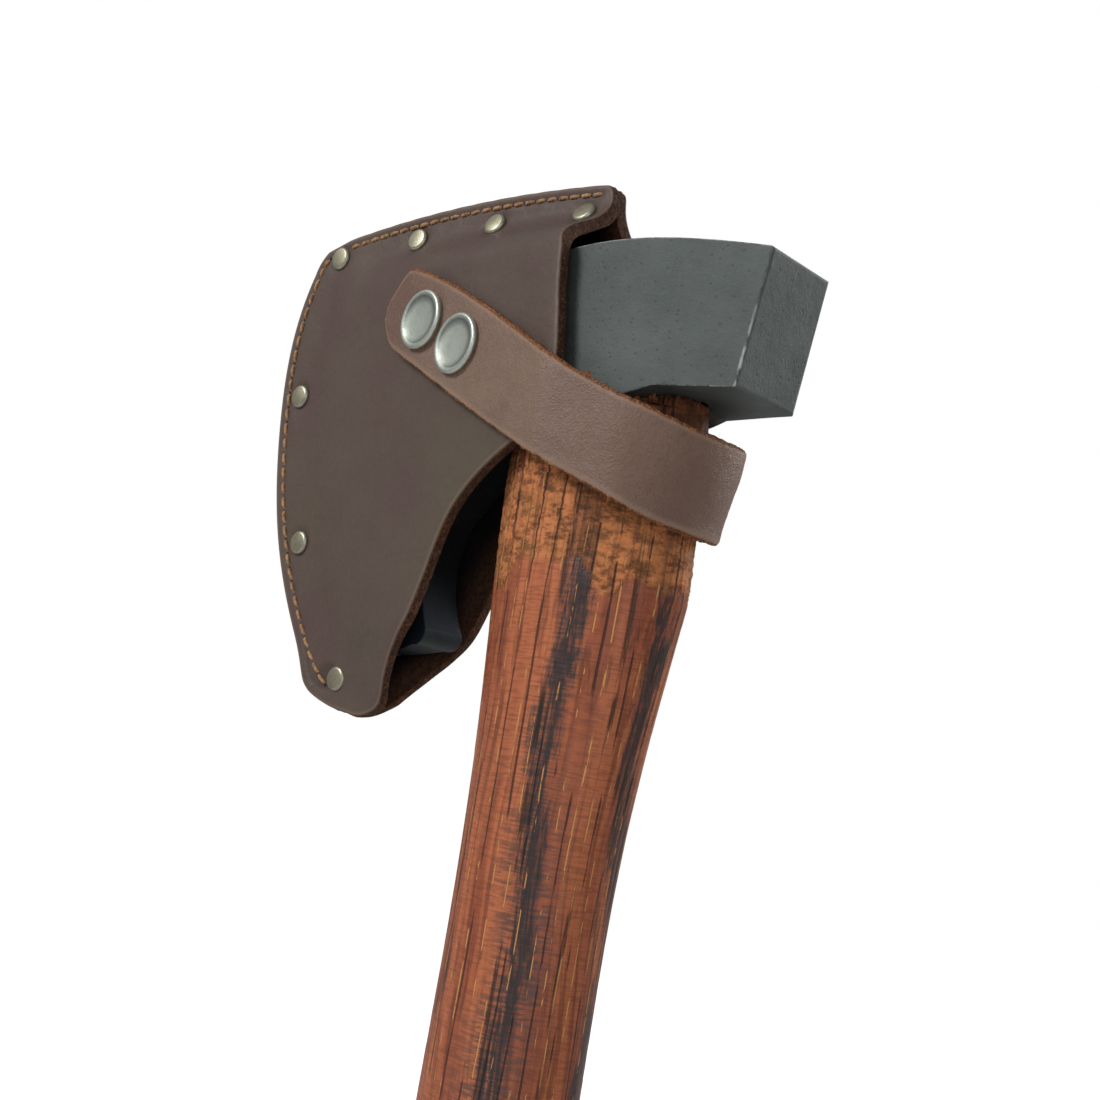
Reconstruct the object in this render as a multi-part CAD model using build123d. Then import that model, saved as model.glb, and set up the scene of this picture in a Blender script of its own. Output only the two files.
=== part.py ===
from build123d import *
import math
import os

# Hatchet with a riveted leather sheath. Millimetres.
# Frame: +Z up along the handle, -X towards the cutting edge, +X towards the poll.
# Solids are drawn with z = 0 at the middle height of the poll. They are lifted by HANDLE_DEPTH
# when they are written, so that the frame's origin is on the butt's end face.

# Axe head
POLL_HEIGHT = 29.0
POLL_HALF_WIDTH = 11.0
POLL_X_TOP = 39.8
POLL_X_BOTTOM = 36.3
EYE_TOP_Z = 16.6
CHEEK_HALF_WIDTH = 15.2
TOE = (-88.5, 16.0)
EDGE_MIDDLE = (-92.5, -22.0)
HEEL = (-71.5, -76.0)
BEVEL_WIDTH = 13.0
BEVEL_HALF_THICKNESS = 2.1
EDGE_HALF_THICKNESS = 0.2
HEAD_EDGE_RADIUS = 0.7

# Eye, tenon and wedges
EYE_HALF_LENGTH = 21.5
EYE_HALF_WIDTH = 8.6
EYE_FLARE = 0.9
TENON_PROUD = 1.4
WOOD_WEDGE_LENGTH = 38.0
WOOD_WEDGE_TOP = 3.6
WOOD_WEDGE_TIP = 1.2
WOOD_WEDGE_DEPTH = 28.0
STEEL_WEDGE_LENGTH = 13.0
STEEL_WEDGE_TOP = 2.6
STEEL_WEDGE_TIP = 0.8
STEEL_WEDGE_DEPTH = 18.0
STEEL_WEDGE_TURN = 50.0

# Handle: each section is (z, front x, back x, half width)
HANDLE_DEPTH = 360.0
SHOULDER_TOP_Z = -12.0
HANDLE_SECTIONS = (
    (SHOULDER_TOP_Z, -24.6, 24.2, 15.5),
    (-48.0, -25.0, 24.4, 15.6),
    (-85.0, -21.0, 19.6, 14.9),
    (-120.0, -18.9, 17.2, 14.3),
    (-165.0, -18.7, 17.7, 13.9),
    (-230.0, -18.4, 17.2, 13.5),
    (-290.0, -19.6, 16.6, 13.8),
    (-325.0, -22.8, 17.0, 14.8),
    (-346.0, -26.6, 18.6, 16.2),
    (-HANDLE_DEPTH, -26.0, 17.8, 15.4),
)
BUTT_EDGE_RADIUS = 3.0

# Sheath
LEATHER = 3.0
SEAM_GAP = 0.1
SEAM_FLAT = 7.6
TOP_RISE = 12.5
BOTTOM_RISE = 20.0
OPENING_X = -8.0
OPENING_HALF_GAP = 16.2
SEAM_FRONT_X = -104.0
FLARE_SHIFT_Z = 1.6
RISE_CHANGE_Z = (6.0, -34.0)
PANEL_X = (-111.5, -2.0)
PANEL_Z = (-94.5, 36.5)
PANEL_STATIONS = 16
BEND_Z = 12.0
LOW_LEVELS = 14
HIGH_LEVELS = 14

# Rivets and thread
RIVET_PLACES = (
    (-97.4, 22.1),
    (-70.4, 25.3),
    (-45.1, 27.5),
    (-17.8, 28.2),
    (-102.2, -14.3),
    (-91.6, -51.7),
    (-69.0, -83.4),
)
RIVET_CAP_RADIUS = 3.0
RIVET_CAP_HEIGHT = 1.0
RIVET_POST_RADIUS = 1.4
TOP_STITCH_INSET = 2.3
LOW_STITCH_INSET = 3.4
TOP_STITCH_PITCH = 3.45
FRONT_STITCH_PITCH = 4.05
STITCH_GAP = 0.8
STITCH_LIFT = 0.15
STITCHED_SHARE = 0.88
THREAD_RADIUS = 0.45
RIVET_CLEARANCE = 0.1

# Strap
STRAP_THICKNESS = 2.6
STRAP_WIDTH = 20.0
STRAP_REAR_TOP_Z = -24.0
STRAP_TIP_X = -65.5
STRAP_TOP_AT_TIP = 15.6
STRAP_LEG_END_X = 10.0
STRAP_LEG_TOP_Z = -16.6
STRAP_LEG_BOTTOM_Z = -37.4
STRAP_BEND_X = -4.0
STRAP_BEND_Y = 22.7
STRAP_TIP_Y = 13.2
LOOP_DEPTH = 20.0
LOOP_HALF_WIDTH = 19.5
PIECE_GAP = 0.15
ANCHOR_END_X = -58.0

# Strap rivets: x and z on the far side
STRAP_RIVET_PLACES = ((-46.0, -2.4), (-28.0, -10.4))
STRAP_RIVET_RADIUS = 4.0
STRAP_RIVET_POST = 1.6

# Snaps: x and z on the near side. Heights run along the snap's own axis
SNAP_PLACES = ((-50.2, 0.3), (-35.4, -6.4))
SNAP_CAP_RADIUS = 7.5
SNAP_CAP_HEIGHT = 1.7
SNAP_POST_RADIUS = 1.9
SOCKET_DEPTH = 1.3
SOCKET_PLATE = 0.3
SOCKET_RADIUS = 5.4
SOCKET_BORE_RADIUS = 3.2
SOCKET_LIFT = 0.12
STUD_RADIUS = 2.4
STUD_TOP = 1.95
STUD_FLANGE_RADIUS = 5.0
STUD_FLANGE = 0.6
SNAP_BACK_HEIGHT = 0.7


def side_solid(wire_edges, half_width=60.0):
    """A closed side outline, drawn in X and Z, extruded both ways along Y."""
    return extrude(make_face(wire_edges), half_width, dir=(0, 1, 0), both=True)


def xz(points):
    """Points given as (x, z), placed on the plane y = 0."""
    return [Vector(x, 0, z) for x, z in points]


# ---------------------------------------------------------------- axe head


def head_side_outline():
    poll_top, poll_bottom, lug_rear, lug, beard_top, beard_low, beard_end, heel, toe = xz(
        [
            (POLL_X_TOP, POLL_HEIGHT / 2),
            (POLL_X_BOTTOM, -POLL_HEIGHT / 2),
            (17.5, -14.9),
            (-17.0, -21.5),
            (-43.0, -44.0),
            (-40.3, -69.0),
            (-44.0, -73.0),
            HEEL,
            TOE,
        ]
    )
    return [
        Line(poll_top, poll_bottom),
        Line(poll_bottom, lug_rear),
        Spline(lug_rear, *xz([(8.0, -17.8), (-4.0, -19.8)]), lug),
        Spline(lug, *xz([(-33.0, -31.5)]), beard_top),
        ThreePointArc(beard_top, Vector(-44.6, 0, -55.0), beard_low),
        ThreePointArc(beard_low, Vector(-40.6, 0, -71.6), beard_end),
        ThreePointArc(beard_end, Vector(-58.0, 0, -75.9), heel),
        ThreePointArc(heel, Vector(EDGE_MIDDLE[0], 0, EDGE_MIDDLE[1]), toe),
        Spline(toe, *xz([(-50.0, 15.2), (-8.0, 16.2), (8.0, EYE_TOP_Z)]), poll_top),
    ]


def head_plan_solid():
    """The head's thickness from above: poll, full cheeks over the eye, and a thin bit."""
    half_widths = (
        (POLL_X_TOP + 1.0, POLL_HALF_WIDTH),
        (28.0, 12.3),
        (15.0, 14.5),
        (4.0, CHEEK_HALF_WIDTH),
        (-8.0, 13.9),
        (-22.0, 10.4),
        (-42.0, 6.0),
        (-66.0, 3.6),
        (-100.0, 2.2),
    )
    near = Spline(*[Vector(x, -y, 0) for x, y in half_widths])
    far = Spline(*[Vector(x, y, 0) for x, y in half_widths])
    ends = [Line(near @ 0, far @ 0), Line(near @ 1, far @ 1)]
    return extrude(make_face([near, far] + ends), 120.0, dir=(0, 0, 1), both=True)


def bevel_solid():
    """A disc about the cutting edge's own centre: its rim is the ground bevel."""
    edge = ThreePointArc(*xz([HEEL, EDGE_MIDDLE, TOE]))
    centre = edge.arc_center
    radius = edge.radius
    rim = [
        (0.0, 60.0),
        (radius - 5 * BEVEL_WIDTH, 60.0),
        (radius - 4 * BEVEL_WIDTH, 16.0),
        (radius - BEVEL_WIDTH, BEVEL_HALF_THICKNESS),
        (radius, EDGE_HALF_THICKNESS),
    ]
    outline = [(r, y) for r, y in rim] + [(r, -y) for r, y in reversed(rim)]
    section = make_face(Polyline(*[Vector(centre.X + r, y, centre.Z) for r, y in outline], close=True))
    return revolve(section, Axis(centre, (0, 1, 0)), 360)


def eye_solid():
    """The tapered oval that fills the head's eye."""
    low, high = -30.0, EYE_TOP_Z + TENON_PROUD
    rings = []
    for z, grow in ((low, 0.0), ((low + high) / 2, 0.0), (high, EYE_FLARE)):
        plane = Plane((0, 0, z))
        rings.append(plane * Ellipse(EYE_HALF_LENGTH + grow, EYE_HALF_WIDTH + grow))
    return loft(rings)


def head_envelope():
    body = side_solid(head_side_outline()) & head_plan_solid() & bevel_solid()
    return body.solids()[0]


def make_head(envelope):
    poll_edges = envelope.edges().filter_by(
        lambda e: min(e @ 0, e @ 0.5, e @ 1, key=lambda p: p.X).X > POLL_X_BOTTOM - 0.5
    )
    try:
        envelope = fillet(poll_edges, HEAD_EDGE_RADIUS)
    except ValueError:
        print("poll edges left sharp")
    return envelope - eye_solid()


# ---------------------------------------------------------------- handle and wedges


def tapered_wedge(length, top, tip, depth, turn):
    """A wedge driven down from the top of the tenon, turned about Z."""
    high = EYE_TOP_Z + TENON_PROUD
    upper = Plane((0, 0, high), z_dir=(0, 0, 1)) * Rot(0, 0, turn) * Rectangle(length, top)
    lower = Plane((0, 0, high - depth)) * Rot(0, 0, turn) * Rectangle(length - 1.5, tip)
    return loft([lower, upper])


def make_handle(envelope, wedges):
    rings = []
    for z, front, back, half in HANDLE_SECTIONS:
        place = Plane(((front + back) / 2, 0, z))
        rings.append(place * Ellipse((back - front) / 2, half))
    shaft = loft(rings)
    butt = shaft.faces().sort_by(Axis.Z)[0]
    shaft = fillet(butt.edges(), BUTT_EDGE_RADIUS)
    handle = (shaft - envelope) + eye_solid()
    return handle - wedges


# ---------------------------------------------------------------- sheath panels


def seam_curve():
    """The stitched border of the sheath: along the top, round the front, to the bottom."""
    top = ThreePointArc(*xz([(-14.0, 34.9), (-57.5, 33.0), (-95.0, 27.0)]))
    shoulder = ThreePointArc(top @ 1, Vector(-102.6, 0, 24.2), Vector(-106.2, 0, 18.0))
    front = Spline(
        shoulder @ 1,
        *xz([(-109.6, 3.0), (-107.9, -23.5), (-100.9, -49.3), (-87.6, -73.6), (-73.7, -88.4)]),
        Vector(-60.0, 0, -92.6),
    )
    return [top, shoulder, front]


def panel_outline():
    seam = seam_curve()
    bottom = seam[2] @ 1
    low_corner = ThreePointArc(bottom, Vector(-52.6, 0, -92.2), Vector(-47.0, 0, -87.0))
    lower = Spline(
        low_corner @ 1,
        *xz([(-41.4, -73.7), (-36.0, -58.6), (-30.6, -43.5), (-21.2, -33.5)]),
        Vector(-9.0, 0, -26.0),
    )
    rear = Spline(lower @ 1, *xz([(-4.2, -12.0), (-6.9, 2.3), (-9.0, 14.0)]), Vector(-8.6, 0, 27.5))
    top_corner = ThreePointArc(rear @ 1, Vector(-9.6, 0, 32.8), seam[0] @ 0)
    return seam + [low_corner, lower, rear, top_corner]


def smooth(t):
    t = min(max(t, 0.0), 1.0)
    return t * t * (3.0 - 2.0 * t)


def seam_points():
    return [edge @ (i / 40) for edge in seam_curve() for i in range(41)]


def half_gap(x, z, seam):
    """Distance from the middle plane to a panel's inner face: closed at the seam, open at the rear."""
    inset = min(math.hypot(p.X - x, p.Z - z) for p in seam)
    high, low = RISE_CHANGE_Z
    rise = BOTTOM_RISE + (TOP_RISE - BOTTOM_RISE) * smooth((z - low) / (high - low))
    opened = smooth((inset - SEAM_FLAT) / rise)
    reach = OPENING_HALF_GAP * max(0.0, (x - SEAM_FRONT_X) / (OPENING_X - SEAM_FRONT_X))
    return SEAM_GAP + reach * opened


def panel_stations():
    """Places of the cross sections along X."""
    return [PANEL_X[0] + (PANEL_X[1] - PANEL_X[0]) * i / PANEL_STATIONS for i in range(PANEL_STATIONS + 1)]


def panel_levels():
    """Heights of the cross sections' points, closer together in the bend under the top seam."""
    low = [PANEL_Z[0] + (BEND_Z - PANEL_Z[0]) * k / LOW_LEVELS for k in range(LOW_LEVELS)]
    high = [BEND_Z + (PANEL_Z[1] - BEND_Z) * k / HIGH_LEVELS for k in range(HIGH_LEVELS + 1)]
    return low + high


def panel_solid(side):
    """A leather side, lofted from cross sections. side is -1 for the near panel, +1 for the far one."""
    seam = seam_points()
    shift = Vector(0, side * LEATHER, FLARE_SHIFT_Z)
    sections = []
    for x in panel_stations():
        inner = [Vector(x, side * half_gap(x, z, seam), z) for z in panel_levels()]
        outer = [point + shift for point in reversed(inner)]
        sections.append(Wire.make_polygon(inner + outer, close=True))
    return Solid.make_loft(sections, ruled=True) & side_solid(panel_outline())


def between(value, places):
    """The two places around a value, and how far it lies between them."""
    index = max(i for i in range(len(places) - 1) if places[i] <= value)
    return places[index], places[index + 1], (value - places[index]) / (places[index + 1] - places[index])


def outer_face(x, z, seam):
    """Distance from the middle plane to a panel's outer face."""
    left, right, along = between(x, panel_stations())
    low, high, up = between(z - FLARE_SHIFT_Z, panel_levels())
    lower = half_gap(left, low, seam) * (1 - along) + half_gap(right, low, seam) * along
    upper = half_gap(left, high, seam) * (1 - along) + half_gap(right, high, seam) * along
    return lower * (1 - up) + upper * up + LEATHER


# ---------------------------------------------------------------- rivets and thread


def dome(radius, height, place, outward):
    """A low round cap with its flat base at place."""
    sphere_radius = (radius**2 + height**2) / (2 * height)
    plane = Plane(place, z_dir=outward)
    ball = plane * Pos(0, 0, height - sphere_radius) * Sphere(sphere_radius)
    return ball & (plane * Cylinder(radius, height, align=(Align.CENTER, Align.CENTER, Align.MIN)))


def rivet_seats():
    """Half thickness of the two panels at each rivet."""
    seam = seam_points()
    return [(x, z, outer_face(x, z, seam)) for x, z in RIVET_PLACES]


def make_rivet_caps():
    caps = []
    for x, z, seat in rivet_seats():
        caps.append(dome(RIVET_CAP_RADIUS, RIVET_CAP_HEIGHT, (x, -seat, z), (0, -1, 0)))
    return caps


def make_rivet_posts():
    posts = []
    for x, z, seat in rivet_seats():
        plane = Plane((x, 0, z), z_dir=(0, 1, 0))
        post = plane * Cylinder(RIVET_POST_RADIUS, 2 * seat)
        posts.append(post + dome(RIVET_CAP_RADIUS, RIVET_CAP_HEIGHT, (x, seat, z), (0, 1, 0)))
    return posts


def stitch_row(edge, pitch, first_inset, last_inset, share=1.0):
    """Centre, direction and length of each stitch along one stretch of the border."""
    count = round(edge.length * share / pitch)
    row = []
    for k in range(count):
        along = (k + 0.5) * share / count
        tangent = edge % along
        inward = Vector(-tangent.Z, 0, tangent.X)
        inset = first_inset + (last_inset - first_inset) * along
        row.append((edge @ along + inward * inset, tangent, edge.length * share / count - STITCH_GAP))
    return row


def stitch_places():
    top, corner, front = seam_curve()
    row = stitch_row(top, TOP_STITCH_PITCH, TOP_STITCH_INSET, TOP_STITCH_INSET)
    row += stitch_row(corner, TOP_STITCH_PITCH, TOP_STITCH_INSET, TOP_STITCH_INSET)
    return row + stitch_row(front, FRONT_STITCH_PITCH, TOP_STITCH_INSET, LOW_STITCH_INSET, STITCHED_SHARE)


def clear_of_rivets(centre, tangent, length):
    """True if no rivet cap reaches the stitch."""
    for x, z in RIVET_PLACES:
        away = Vector(x - centre.X, 0, z - centre.Z)
        along = min(max(away.dot(tangent), -length / 2), length / 2)
        if (away - tangent * along).length < RIVET_CAP_RADIUS + THREAD_RADIUS + RIVET_CLEARANCE:
            return False
    return True


def make_thread():
    seam = seam_points()
    stitches = []
    for centre, tangent, length in stitch_places():
        if not clear_of_rivets(centre, tangent, length):
            continue
        lift = outer_face(centre.X, centre.Z, seam) + THREAD_RADIUS + STITCH_LIFT
        for side in (-1, 1):
            plane = Plane((centre.X, side * lift, centre.Z), x_dir=(0, 1, 0), z_dir=tangent)
            stitches.append(plane * Cylinder(THREAD_RADIUS, length))
    return stitches


# ---------------------------------------------------------------- strap


def strap_band(side):
    """The strap seen from the side: a sloping leg that levels out behind the handle."""
    top = [
        (STRAP_TIP_X, STRAP_TOP_AT_TIP),
        (STRAP_BEND_X, -10.2),
        (STRAP_LEG_END_X, STRAP_LEG_TOP_Z),
        (22.0, -21.0),
        (27.5, -23.2),
        (31.0, STRAP_REAR_TOP_Z),
        (40.0, STRAP_REAR_TOP_Z),
    ]
    bottom = [
        (40.0, STRAP_REAR_TOP_Z - STRAP_WIDTH),
        (30.0, STRAP_REAR_TOP_Z - STRAP_WIDTH),
        (23.5, -42.2),
        (STRAP_LEG_END_X, STRAP_LEG_BOTTOM_Z),
        (STRAP_BEND_X, -31.8),
        (STRAP_TIP_X, -3.6),
    ]
    edges = [Spline(*xz(top)), Line(*xz([top[-1], bottom[0]])), Spline(*xz(bottom))]
    edges.append(Line(*xz([bottom[-1], top[0]])))
    face = make_face(edges)
    return extrude(face, 40.0, dir=(0, side, 0))


def leg_plan(x_from, x_to, side):
    """A straight stretch of strap seen from above, between two x stations."""

    def outer(x):
        if x <= STRAP_BEND_X:
            return STRAP_TIP_Y + strap_slope() * (x - STRAP_TIP_X)
        t = (x - STRAP_BEND_X) / (STRAP_LEG_END_X - STRAP_BEND_X)
        return STRAP_BEND_Y + (LOOP_HALF_WIDTH - STRAP_BEND_Y) * t

    corners = [
        (x_from, side * outer(x_from)),
        (x_to, side * outer(x_to)),
        (x_to, side * (outer(x_to) - STRAP_THICKNESS)),
        (x_from, side * (outer(x_from) - STRAP_THICKNESS)),
    ]
    return make_face(Polyline(*corners, close=True))


def loop_plan(angle_from, angle_to):
    """Part of the loop behind the handle, between two angles of its ellipse."""

    def at(angle, inset):
        turn = math.radians(angle)
        x = STRAP_LEG_END_X + (LOOP_DEPTH - inset) * math.cos(turn)
        return Vector(x, (LOOP_HALF_WIDTH - inset) * math.sin(turn), 0)

    steps = 6
    angles = [angle_from + (angle_to - angle_from) * i / steps for i in range(steps + 1)]
    outer = Spline(*[at(a, 0.0) for a in angles])
    inner = Spline(*[at(a, STRAP_THICKNESS) for a in angles])
    return make_face([outer, inner, Line(outer @ 0, inner @ 0), Line(outer @ 1, inner @ 1)])


def wall(plan):
    return extrude(plan, 60.0, dir=(0, 0, 1), both=True)


def tip_cutter():
    """Removes the two corners of the strap's free end, to leave a blunt point."""
    x, high, low = STRAP_TIP_X, STRAP_TOP_AT_TIP, -3.6
    upper = Polyline(*xz([(x - 1, high + 3), (x + 9.5, high + 3), (x - 1, high - 10.5)]), close=True)
    lower = Polyline(*xz([(x - 1, low - 6), (x + 6.5, low - 6), (x - 1, low + 5.0)]), close=True)
    return side_solid(upper) + side_solid(lower)


def make_strap():
    near, far = strap_band(-1), strap_band(1)
    both = near + far
    bend = STRAP_BEND_X
    tip = (wall(leg_plan(STRAP_TIP_X, bend - PIECE_GAP, -1)) & near) - tip_cutter()
    near_leg = (wall(leg_plan(bend, STRAP_LEG_END_X, -1)) + wall(loop_plan(-90, -46))) & near
    rear = wall(loop_plan(-45, 45)) & both
    far_leg = (wall(leg_plan(bend, STRAP_LEG_END_X, 1)) + wall(loop_plan(46, 90))) & far
    anchor = wall(leg_plan(ANCHOR_END_X, bend - PIECE_GAP, 1)) & far
    return {
        "strap_tip": tip,
        "strap_near": near_leg,
        "strap_rear": rear,
        "strap_far": far_leg,
        "strap_anchor": anchor,
    }


# ---------------------------------------------------------------- strap rivets and snaps


def strap_slope():
    return (STRAP_BEND_Y - STRAP_TIP_Y) / (STRAP_BEND_X - STRAP_TIP_X)


def strap_axis(x, z, side):
    """Where a fastener's axis meets the strap's outer face, the outward normal, and the panel's depth."""
    outer = STRAP_TIP_Y + strap_slope() * (x - STRAP_TIP_X)
    tilt = math.atan(strap_slope())
    normal = Vector(-math.sin(tilt), side * math.cos(tilt), 0)
    panel = outer_face(x, z, seam_points())
    return Vector(x, side * outer, z), normal, (outer - panel) * math.cos(tilt)


def disc(place, normal, radius, high, low):
    """A round plug from high down to low, measured along normal from place."""
    middle = place + normal * ((high + low) / 2)
    return Plane(middle, z_dir=normal) * Cylinder(radius, high - low)


def make_strap_rivets():
    """Caps on the strap, and posts with their inner caps."""
    caps, posts = [], []
    for x, z in STRAP_RIVET_PLACES:
        place, normal, depth = strap_axis(x, z, 1)
        inside = depth + LEATHER * math.cos(math.atan(strap_slope())) + 0.15
        caps.append(dome(STRAP_RIVET_RADIUS, RIVET_CAP_HEIGHT, place, normal))
        post = disc(place, normal, STRAP_RIVET_POST, 0.0, -inside)
        posts.append(post + dome(STRAP_RIVET_RADIUS, RIVET_CAP_HEIGHT, place - normal * inside, -normal))
    return caps, posts


def snap_cap(place, normal):
    """A shallow cap with a raised rim, and the post that goes through the strap."""
    cap = dome(SNAP_CAP_RADIUS, SNAP_CAP_HEIGHT, place, normal)
    dish = dome(SNAP_CAP_RADIUS - 1.2, 0.6, place + normal * (SNAP_CAP_HEIGHT + 0.05), -normal)
    return (cap - dish) + disc(place, normal, SNAP_POST_RADIUS, 0.0, -SOCKET_DEPTH)


def make_snaps():
    caps, sockets, pockets, studs, posts = [], [], [], [], []
    for x, z in SNAP_PLACES:
        place, normal, depth = strap_axis(x, z, -1)
        caps.append(snap_cap(place, normal))
        socket = disc(place, normal, SOCKET_RADIUS, -SOCKET_DEPTH, SOCKET_LIFT - depth)
        bore = disc(place, normal, SOCKET_BORE_RADIUS, -SOCKET_DEPTH - SOCKET_PLATE, -depth)
        pockets.append(socket)
        sockets.append(socket - bore)
        flange = disc(place, normal, STUD_FLANGE_RADIUS, -depth, -depth - STUD_FLANGE)
        studs.append(flange + disc(place, normal, STUD_RADIUS, -STUD_TOP, -depth))
        inside = depth + LEATHER + 0.1
        post = disc(place, normal, SNAP_POST_RADIUS, -depth - STUD_FLANGE, -inside)
        back = disc(place, normal, STUD_FLANGE_RADIUS, -inside, -inside - SNAP_BACK_HEIGHT)
        posts.append(post + back)
    return caps, sockets, pockets, studs, posts


def cut(shape, tools):
    for tool in tools:
        shape = shape - tool
    return shape


# ---------------------------------------------------------------- build


def write(name, shape):
    solids = shape if isinstance(shape, list) else shape.solids()
    lifted = [Pos(0, 0, HANDLE_DEPTH) * solid for solid in solids]
    result = lifted[0] if len(lifted) == 1 else Compound(children=lifted)
    export_step(result, f"parts/{name}.step")


def main():
    os.makedirs("parts", exist_ok=True)
    envelope = head_envelope()
    write("axe_head", make_head(envelope))
    steel = tapered_wedge(
        STEEL_WEDGE_LENGTH, STEEL_WEDGE_TOP, STEEL_WEDGE_TIP, STEEL_WEDGE_DEPTH, STEEL_WEDGE_TURN
    )
    wood = tapered_wedge(WOOD_WEDGE_LENGTH, WOOD_WEDGE_TOP, WOOD_WEDGE_TIP, WOOD_WEDGE_DEPTH, 0)
    write("handle", make_handle(envelope, wood + steel))
    write("wood_wedge", wood - steel)
    write("steel_wedge", steel)
    make_sheath()


def make_sheath():
    rivet_posts = make_rivet_posts()
    strap_caps, strap_posts = make_strap_rivets()
    rivet_caps = make_rivet_caps()
    caps, sockets, pockets, studs, posts = make_snaps()
    write("near_panel", cut(panel_solid(-1), rivet_caps + rivet_posts + studs + posts))
    write("far_panel", cut(panel_solid(1), rivet_posts + strap_posts))
    write("sheath_thread", make_thread())
    write("rivet_caps", rivet_caps)
    write("rivet_posts", rivet_posts)
    strap = make_strap()
    strap["strap_tip"] = cut(strap["strap_tip"], caps + pockets)
    strap["strap_anchor"] = cut(strap["strap_anchor"], strap_posts)
    for name, piece in strap.items():
        write(name, piece)
    write("strap_rivet_caps", strap_caps)
    write("strap_rivet_posts", strap_posts)
    write("snap_caps", caps)
    write("snap_sockets", sockets)
    write("snap_studs", studs)
    write("snap_posts", posts)


main()
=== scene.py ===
import math

import bpy
import numpy as np
from mathutils import Matrix, Vector
from mathutils.bvhtree import BVHTree
from mathutils.geometry import delaunay_2d_cdt


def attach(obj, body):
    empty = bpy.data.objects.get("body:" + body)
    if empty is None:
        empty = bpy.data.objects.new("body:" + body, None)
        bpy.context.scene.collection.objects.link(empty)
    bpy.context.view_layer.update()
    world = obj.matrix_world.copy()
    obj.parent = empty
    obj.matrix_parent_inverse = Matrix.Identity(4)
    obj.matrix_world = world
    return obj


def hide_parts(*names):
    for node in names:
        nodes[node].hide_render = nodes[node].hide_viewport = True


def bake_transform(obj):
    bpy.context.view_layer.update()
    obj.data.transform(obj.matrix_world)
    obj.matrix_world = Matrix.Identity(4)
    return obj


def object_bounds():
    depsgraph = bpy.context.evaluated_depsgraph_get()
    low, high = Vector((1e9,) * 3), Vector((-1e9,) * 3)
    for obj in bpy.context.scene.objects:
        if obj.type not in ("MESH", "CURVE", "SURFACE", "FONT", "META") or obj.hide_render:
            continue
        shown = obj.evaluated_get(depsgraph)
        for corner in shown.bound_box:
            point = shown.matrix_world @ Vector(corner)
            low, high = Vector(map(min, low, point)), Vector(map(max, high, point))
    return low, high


# Lengths are in millimetres, and become metres in the row frame when a mesh is made.
# -Y is the near side, -X the cutting edge, +X the poll, +Z up the handle.
# Heights here are measured from the poll's middle height, LIFT above the butt.

# Sheath panels
PANEL_CENTRE = (-60.0, -20.0)
HEIGHTS_LOW = (-114.0, -98.0)
HEIGHTS_SHAPE = (118, 140)
OUTLINE_RAYS = 2400
HOLE_CLEARANCE = 5.2
OUTLINE_STEP = 0.55
LATTICE_STEP = 0.95
ARRIS = 0.55
RING_INSETS = (0.0, 0.12, 0.3, 0.55, 0.85, 1.2, 1.6, 2.0, 2.4, 2.8, 3.2, 3.7)
WALL_ROWS = 9
GROOVE_DEPTH = 0.3
GROOVE_WIDTH = 0.75
RIVET_DIMPLE = 0.35
CORNER_PINCH = {-1: 3.4, 1: 5.0}
TOE_PINCH = 4.2
TOE_LIFT = 1.8
MOUTH_PINCH = 3.2

# Strap
STRAP_THICKNESS = 2.6
STRAP_STEP = 0.75
STRAP_ROWS = 36
STRAP_EDGE_STEPS = 5
STRAP_TUCK = 3.4

# Stitches, rivets and snaps. A profile with DISHED_POINTS or more is a dished snap cap.
STITCH_ROWS = 11
STITCH_SIDES = 10
RIVET_RADIUS = 3.0
STRAP_RIVET_RADIUS = 4.0
SNAP_RADIUS = 7.1
SNAP_HEIGHT = 1.4
TURNED_SIDES = 56
DISHED_POINTS = 16

# Handle. Above HANDLE_IN_EYE it is inside the head's eye and left plain.
POLL_ABOVE_BUTT = 360.0
HANDLE_SIDES = 200
HANDLE_IN_EYE = -8.0
RASP_END = -56.0
AROUND_LEVEL = -70.0
BUTT_DISH = 0.25
SPLINTERS = 20

# Burns on the handle, placed across the usual view, and the head's bevel and poll
ACROSS_VIEW = (0.757, 0.653, 0.0)
TOWARDS_VIEW = (0.653, -0.757, 0.0)
BURN_AT = 6.0
EDGE_BURN_AT = 24.0
EDGE_ARC = ((-71.5, -76.0), (-92.5, -22.0), (-88.5, 16.0))
BEVEL_WIDTH = 13.0
POLL_AXIS = (0.992796, 0.0, -0.11982)
POLL_REACH = 38.05

# Stage and camera. Angles are in degrees.
AMBIENT = 0.27
FLOOR_GLOW = 0.85
FLOOR_DROP = 0.4
FLOOR_HALF_SIDE = 6000.0
CAMERA_PLACE = (228.8, -280.3, -93.1)
CAMERA_TURN = 40.81
CAMERA_RISE = -6.91
CAMERA_ROLL = 10.35
CAMERA_SENSOR = 36.0
CAMERA_LENS = 55.7149

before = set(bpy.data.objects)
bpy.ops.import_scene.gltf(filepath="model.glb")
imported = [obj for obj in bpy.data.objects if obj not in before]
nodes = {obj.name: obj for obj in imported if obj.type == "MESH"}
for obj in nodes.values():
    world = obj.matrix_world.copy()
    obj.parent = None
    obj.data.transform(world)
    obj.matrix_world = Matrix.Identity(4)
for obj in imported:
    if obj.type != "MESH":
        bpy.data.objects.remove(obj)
cad_low, cad_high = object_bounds()
LIFT = POLL_ABOVE_BUTT + cad_low.z * 1000.0
RAISED = np.array([0.0, 0.0, LIFT])


# ---------------------------------------------------------------- numbers


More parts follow.
